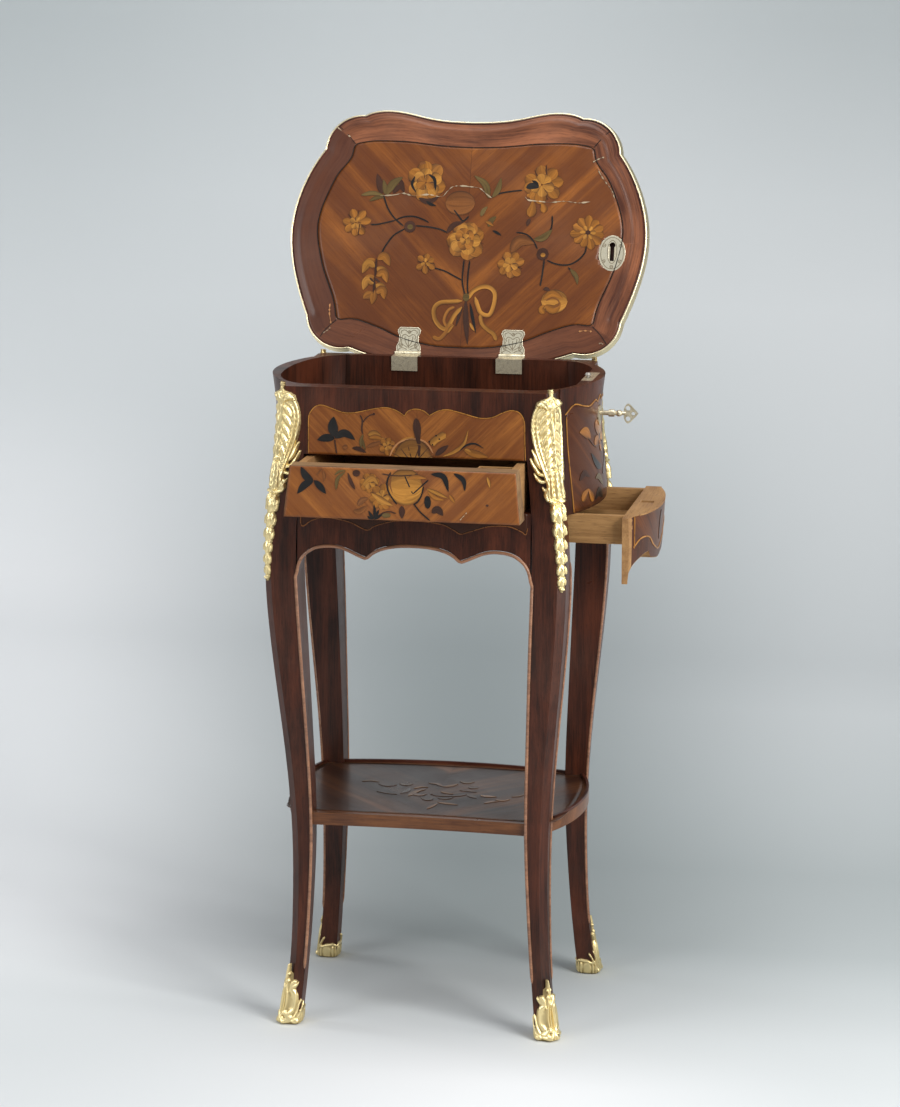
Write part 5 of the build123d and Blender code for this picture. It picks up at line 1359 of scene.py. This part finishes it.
LEAF_HALF = ((0.6, 13.4), (8, 13.6), (10.5, 12.6), (13, 11.2), (20, 11.0), (22.5, 12.2), (25, 13.0),
             (27.5, 12.4), (29.6, 10.4))
LEAF_LINES = [  # half of the engraving of a hinge leaf: a shell over scrolls
    (0.15, (0, 6), (0, 17)), (0.15, (-0.5, 8), (-4, 14), (-4.4, 19)),
    (0.15, (-1.5, 7), (-7.5, 11), (-8.4, 16)), (0.15, (0, 19), (-4.6, 21.5), (-7.8, 19), (-6.6, 16.4)),
    (0.15, (-1.2, 24), (-5.2, 26.4), (-9.2, 24.6), (-8.6, 22.6)),
    (0.15, (-2, 4.6), (-7, 6.4), (-11.2, 4.4), (-10.6, 2.6)),
    (0.12, (-12.2, 1.6), (-12.3, 8.4), (-9.8, 12.4), (-9.8, 20)),
    (0.12, (-9.8, 20), (-11.6, 24.4), (-9.2, 28.2), (0, 28.4)),
]
HINGES = (("left", -58.6), ("right", 58.4))  # side, and where the middle of the leaf is
for side, middle in HINGES:
    s, t = np.linspace(-1, 1, 76)[None, :], np.linspace(0, 1, 84)[:, None]
    u = 0.6 + 29.0 * t
    half = np.interp(u, *zip(*LEAF_HALF))
    x, u = np.broadcast_arrays(s * half, u)
    screws = screw_lines(1.7, (-8.6, 9, 0.6), (8.4, 8.6, 2.1), (0.2, 24.2, 1.2))
    clean = engraved(x, u, both_sides(LEAF_LINES) + screws)
    rim = np.minimum(1 - np.abs(s), np.minimum(t, 1 - t) * 2) * 13
    engraved_sheet(f"{side}_hinge", x + middle, u, np.clip(rim / 0.8, 0, 1), clean)

OVAL = (14.7, 19.9)  # half axes of the strike plate
turn, t = np.linspace(0, 2 * np.pi, 145)[None, :-1], np.linspace(0, 1, 44)[:, None]
oval = stack(OVAL[0] * np.cos(turn), OVAL[1] * np.sin(turn))
# the opening for the lid bolt, and the oval edge
slot_x = 4.0 * np.sign(np.cos(turn)) * np.abs(np.cos(turn)) ** 0.6
slot_u = 1.5 + 10.5 * np.sign(np.sin(turn)) * np.abs(np.sin(turn)) ** 0.8
flat = stack(slot_x, slot_u) * (1 - t[..., None]) + oval * t[..., None]
x, u = flat[..., 0], flat[..., 1]
lines = [(0.12, *ring(0, 0, 12.6, 17.6, 26)), (0.12, *ring(0, 1.5, 5.2, 12.9, 22))]
screws = screw_lines(1.8, (-9.2, 8.5, 0.4), (9.2, 8.5, 1.9), (-9, -9, 2.4), (9, -9, 0.9), (0, -15.2, 0.1))
rim = np.sin(np.pi * np.clip(t, 0, 1)) ** 0.3
clean = engraved(x, u, lines + screws)
engraved_sheet("strike_plate", x + STRIKE[0], u + STRIKE[1], rim, clean, (False, True), True)


# ---------------------------------------------------------------- shelf and edges
SHELF_RING = [(-150, -78), (-128, -100), (0, -97), (128, -100), (150, -78), (156, 0), (150, 72), (128, 90),
              (0, 98), (-128, 90), (-150, 72), (-156, 0)]
shelf_line = smooth_path(SHELF_RING, 241, closed=True)[:-1]
flat = shelf_line[None] * np.linspace(0, 1, 24)[:, None, None]  # from the middle to the outline
sheet("shelf_field", on_shelf(flat[..., 0], flat[..., 1], VENEER_LIFT), "carcass", shelf_wood,
      (False, True), True, uv=flat, merge=0.01, **VENEER)
shelf_border = edge_strokes(np.vstack([shelf_line, shelf_line[:1]])[::4], 1, 0.5, 200)
inlays("shelf_marquetry", SHELF_STROKES + shelf_border, on_shelf, "carcass", worn_inlay)


def bead(name, line, out, radius, corner="front_right"):
    """Light bead along a line of points: place = line + radius * (cos a * side + sin a * out),
    side being square to the line and to out; the radius falls to nothing at both ends."""
    count = len(line)
    along = np.gradient(line, axis=0)
    along /= np.linalg.norm(along, axis=1)[:, None]
    side = np.cross(along, out)
    side /= np.linalg.norm(side, axis=1)[:, None]
    a = np.linspace(0, 2 * np.pi, 11)[:-1]
    step = np.arange(count)
    r = radius * np.sqrt(np.clip(np.minimum(step, count - 1 - step) / 3, 0, 1))[:, None, None]
    c, s = np.cos(a)[None, :, None], np.sin(a)[None, :, None]
    grid = line[:, None] + r * (c * side[:, None] + s * np.asarray(out))
    moved, turned = carried(grid.reshape(-1, 3), corner)
    faces = grid_faces(count, len(a), False, True)
    return make_piece(name, moved, faces if turned else faces[:, ::-1], "carcass", light_bead, merge=0.01,
                      slot="light_bead")


BEAD_IN = 1.6  # the rays that find the inner edges run this far behind the legs' faces
BELOW = 380  # height at which the upright rays start, under the scallops
SCALLOPS = 540.0  # height at which the scalloped edge's distance from the middle is taken


def edge_bead(side, sign):
    """Bead of the front or the back, up one leg, along the scallops and down the other leg. Its
    line is read off the model: level rays find the legs' inner edges, upright ones the scallops."""
    tree = tree_of(f"{side}_right_leg", f"{side}_left_leg", f"{side}_bead")
    turn_x = 108 + (0 if sign < 0 else BACK_SPLAY)  # where the legs turn into the scalloped edge

    def behind(z):
        return sign * (CORNER_Y + leg_offset(z) - BEAD_IN)

    def edge_over(x):
        return first_hit(tree, (x, behind(SCALLOPS), BELOW), (0, 0, 1))[2]

    right = [(first_hit(tree, (turn_x - 8, behind(z), z), (1, 0, 0))[0] + 0.7, z)
             for z in np.arange(60, edge_over(turn_x) - 2, 5.0)]
    arch = [(x, edge_over(x) + 0.9) for x in np.arange(turn_x, -turn_x - 1, -3.0)]
    left = [(-x, z) for x, z in right[::-1]]
    way = smooth_path(right + arch + left, 420)
    line = stack(way[:, 0], sign * (CORNER_Y + leg_offset(way[:, 1]) + 0.1), way[:, 1])
    piece = bead(f"{side}_edge_bead", line if sign < 0 else line[::-1], (0, sign, 0), 1.75)
    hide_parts(f"{side}_bead")


edge_bead("front", -1)
edge_bead("back", 1)
side_z = np.arange(60, 521, 5.0)
inner_y = [first_hit(leg_tree, (CORNER_X + leg_offset(z) - BEAD_IN, 0, z), (0, -1, 0))[1] for z in side_z]
side_line = smooth_path(stack(CORNER_X + leg_offset(side_z) + 0.1, np.array(inner_y) - 0.7, side_z), 160)
for corner in CORNERS:
    bead(f"{corner}_side_bead", side_line, (1, 0, 0), 1.5, corner)

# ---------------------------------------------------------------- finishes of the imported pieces
FINISHES = {
    rosewood: [f"{corner}_leg" for corner in CORNERS]
              + ["upper_front", "front_apron", "back_panel", "left_end", "right_end"],
    rosewood_long: ["shelf_lip", "lid_panel"],
    light_bead: ["front_bead", "back_bead"],
    shelf_edge: ["shelf"],
    old_oak: ["well_floor", "dust_board", "front_runner", "back_runner", "left_guide", "right_guide"],
    oak: ["front_drawer_back", "front_drawer_cell_back", "end_drawer_front_side", "end_drawer_rear_side",
          "end_drawer_bottom"],
    worn_oak: ["front_drawer_face"],
    oak_deep: ["front_drawer_left_side", "front_drawer_right_side", "front_drawer_bottom",
               "front_drawer_cell_divider", "end_drawer_face", "end_drawer_back"],
    old_brass: [name for side in ("left", "right")
                for name in (f"lid_{side}_hinge_leaf", f"{side}_fixed_hinge_leaf", f"{side}_hinge_pin")]
               + ["lid_strike_plate", "escutcheon", "key", "lock_selvedge"],
    steel: ["lock_case", "lid_bolt", "drawer_bolt"],
}
for finish, names in FINISHES.items():
    for name in names:
        nodes[name].data.materials.clear()
        nodes[name].data.materials.append(finish)

# ---------------------------------------------------------------- camera
CAMERA_PLACE = (707.0, -3522.0, 1265.0)
yaw, pitch, roll = np.radians([11.14, 11.99, -0.06])
forward = Vector((-np.sin(yaw) * np.cos(pitch), np.cos(yaw) * np.cos(pitch), -np.sin(pitch)))
right = Vector((np.cos(yaw), np.sin(yaw), 0))
up = right.cross(forward)
right, up = right * np.cos(roll) + up * np.sin(roll), up * np.cos(roll) - right * np.sin(roll)
camera = bpy.data.objects.new("camera", bpy.data.cameras.new("camera"))
scene.collection.objects.link(camera)
SENSOR = 36.0
camera.data.sensor_fit, camera.data.sensor_height = "VERTICAL", SENSOR
camera.data.lens = 3394 / 1107 * SENSOR  # the picture's distance over its height
turned = Matrix((right, up, -forward)).transposed().to_4x4()
camera.matrix_world = Matrix.Translation(Vector(placed(CAMERA_PLACE))) @ turned
scene.camera = camera

# ---------------------------------------------------------------- floor, backdrop and light
# grey of the paper along its run from the front of the floor up the wall, in metres, at its left,
# middle and right. The greys are painted light and shade: they follow the fall of the studio light,
# darker in the middle behind the object and lighter in front of it, against its own shadow.
PAPER_RUN = (-0.6, -0.27, -0.1, 0.2, 0.5, 0.8, 1.3, 1.9, 2.3, 2.6, 2.9, 3.2, 3.6, 4.2)
PAPER_WITH_PAINTED_LIGHT = (
    (0.76, 0.70, 0.72, 0.84, 0.82, 0.82, 0.85, 0.86, 0.79, 0.71, 0.67, 0.61, 0.51, 0.44),
    (0.80, 0.82, 0.66, 0.34, 0.28, 0.30, 0.35, 0.40, 0.50, 0.62, 0.70, 0.70, 0.62, 0.53),
    (0.74, 0.67, 0.64, 0.48, 0.46, 0.555, 0.69, 0.69, 0.71, 0.72, 0.73, 0.67, 0.54, 0.47),
)


def backdrop():
    """Floor that curves up into a wall: a straight run, a quarter turn of radius 1.1 m and a
    straight rise. Its grey, which carries painted light and shade, is blended between the three
    columns of greys above by the bearing from beside the camera's place, with share^2 * (3 - 2 * share)."""
    turn = np.linspace(0, np.pi / 2, 24)
    y = np.r_[-6.0, 1.6 + 1.1 * np.sin(turn), 2.7]
    z = np.r_[0.0, 1.1 - 1.1 * np.cos(turn), 4.5]
    x = np.linspace(-5, 5, 5)
    grid = stack(x[None, :], y[:, None], z[:, None])
    mesh = bpy.data.meshes.new("backdrop")
    mesh.from_pydata(grid.reshape(-1, 3).tolist(), [], grid_faces(*grid.shape[:2]).tolist())
    mesh.polygons.foreach_set("use_smooth", np.ones(len(mesh.polygons), bool))
    wall = bpy.data.objects.new("backdrop", mesh)
    scene.collection.objects.link(wall)
    material, tree, shader = begin("paper with painted light and shade")
    parts = add(tree, "SeparateXYZ", {0: add(tree, "TexCoord").outputs["Object"]}).outputs
    run = math(tree, "ADD", parts[1], parts[2])
    painted_greys = []
    for column in PAPER_WITH_PAINTED_LIGHT:
        ramp = add(tree, "ValToRGB", {0: spread(tree, run, PAPER_RUN[0], PAPER_RUN[-1])})
        while len(ramp.color_ramp.elements) < len(column):
            ramp.color_ramp.elements.new(0.5)
        for element, at, grey in zip(ramp.color_ramp.elements, PAPER_RUN, column):
            element.position = (at - PAPER_RUN[0]) / (PAPER_RUN[-1] - PAPER_RUN[0])
            element.color = rgb(grey * (0.84 + 0.17 * grey), grey, grey * 1.02)
        painted_greys.append(ramp.outputs[0])
    aside = math(tree, "DIVIDE", math(tree, "SUBTRACT", parts[0], 0.69), math(tree, "ADD", parts[1], 3.54))
    paper = painted_greys[0]
    # painted light and shade: the greys are blended across the paper by bearing, lighter at the left
    for low, high, grey in ((-0.345, -0.19, painted_greys[1]), (-0.19, -0.065, painted_greys[2])):
        share = spread(tree, aside, low, high)
        rest = math(tree, "SUBTRACT", 3.0, math(tree, "MULTIPLY", share, 2.0))
        share = math(tree, "MULTIPLY", math(tree, "MULTIPLY", share, share), rest)
        paper = blend_colour(tree, share, paper, grey)
    fill(tree, shader, {"Base Color": paper, "Roughness": 0.85, "Specular IOR Level": 0.2})
    # from behind the wall gives a free view of the room
    output = next(node for node in tree.nodes if node.type == "OUTPUT_MATERIAL")
    behind = add(tree, "NewGeometry").outputs["Backfacing"]
    clear = add(tree, "BsdfTransparent").outputs[0]
    mixed = add(tree, "MixShader", {0: behind, 1: shader.outputs[0], 2: clear})
    tree.links.new(mixed.outputs[0], output.inputs["Surface"])
    mesh.materials.append(material)


def softbox(name, place, target, size, power, colour=(1, 1, 1)):
    """Rectangular lamp at place, turned to its target."""
    lamp = bpy.data.lights.new(name, "AREA")
    lamp.shape, lamp.size, lamp.size_y = "RECTANGLE", *size
    lamp.energy, lamp.color = power, colour
    holder = bpy.data.objects.new(name, lamp)
    scene.collection.objects.link(holder)
    holder.location = place
    holder.rotation_euler = (Vector(target) - Vector(place)).to_track_quat("-Z", "Y").to_euler()


backdrop()
softbox("key", (2.3, -1.6, 1.9), (0, 0, 0.5), (1.2, 1.6), 80, (1, 0.985, 0.96))
softbox("fill", (-2.4, -2.6, 1.6), (0, 0, 0.5), (1.6, 1.6), 34, (0.98, 0.985, 1))
softbox("top", (0.2, -0.4, 3.0), (0, 0, 0.4), (1.8, 1.8), 42)
softbox("backdrop left", (-2.2, 0.4, 1.6), (-1.3, 2.4, 0.4), (1.0, 1.4), 20, (0.98, 0.99, 1))
softbox("side", (1.5, -0.25, 0.45), (0, 0, 0.35), (0.3, 0.9), 5, (1, 0.97, 0.93))
scene.world = scene.world or bpy.data.worlds.new("world")
scene.world.use_nodes = True
sky = scene.world.node_tree
air = sky.nodes["Background"]
air.inputs["Color"].default_value = rgb(0.80, 0.84, 0.88)
path = add(sky, "LightPath").outputs
seen = math(sky, "MAXIMUM", path["Is Camera Ray"], path["Is Glossy Ray"])
sky.links.new(math(sky, "ADD", math(sky, "MULTIPLY", seen, 0.44), 0.16), air.inputs["Strength"])
scene.view_settings.view_transform = "Standard"

bpy.context.view_layer.update()
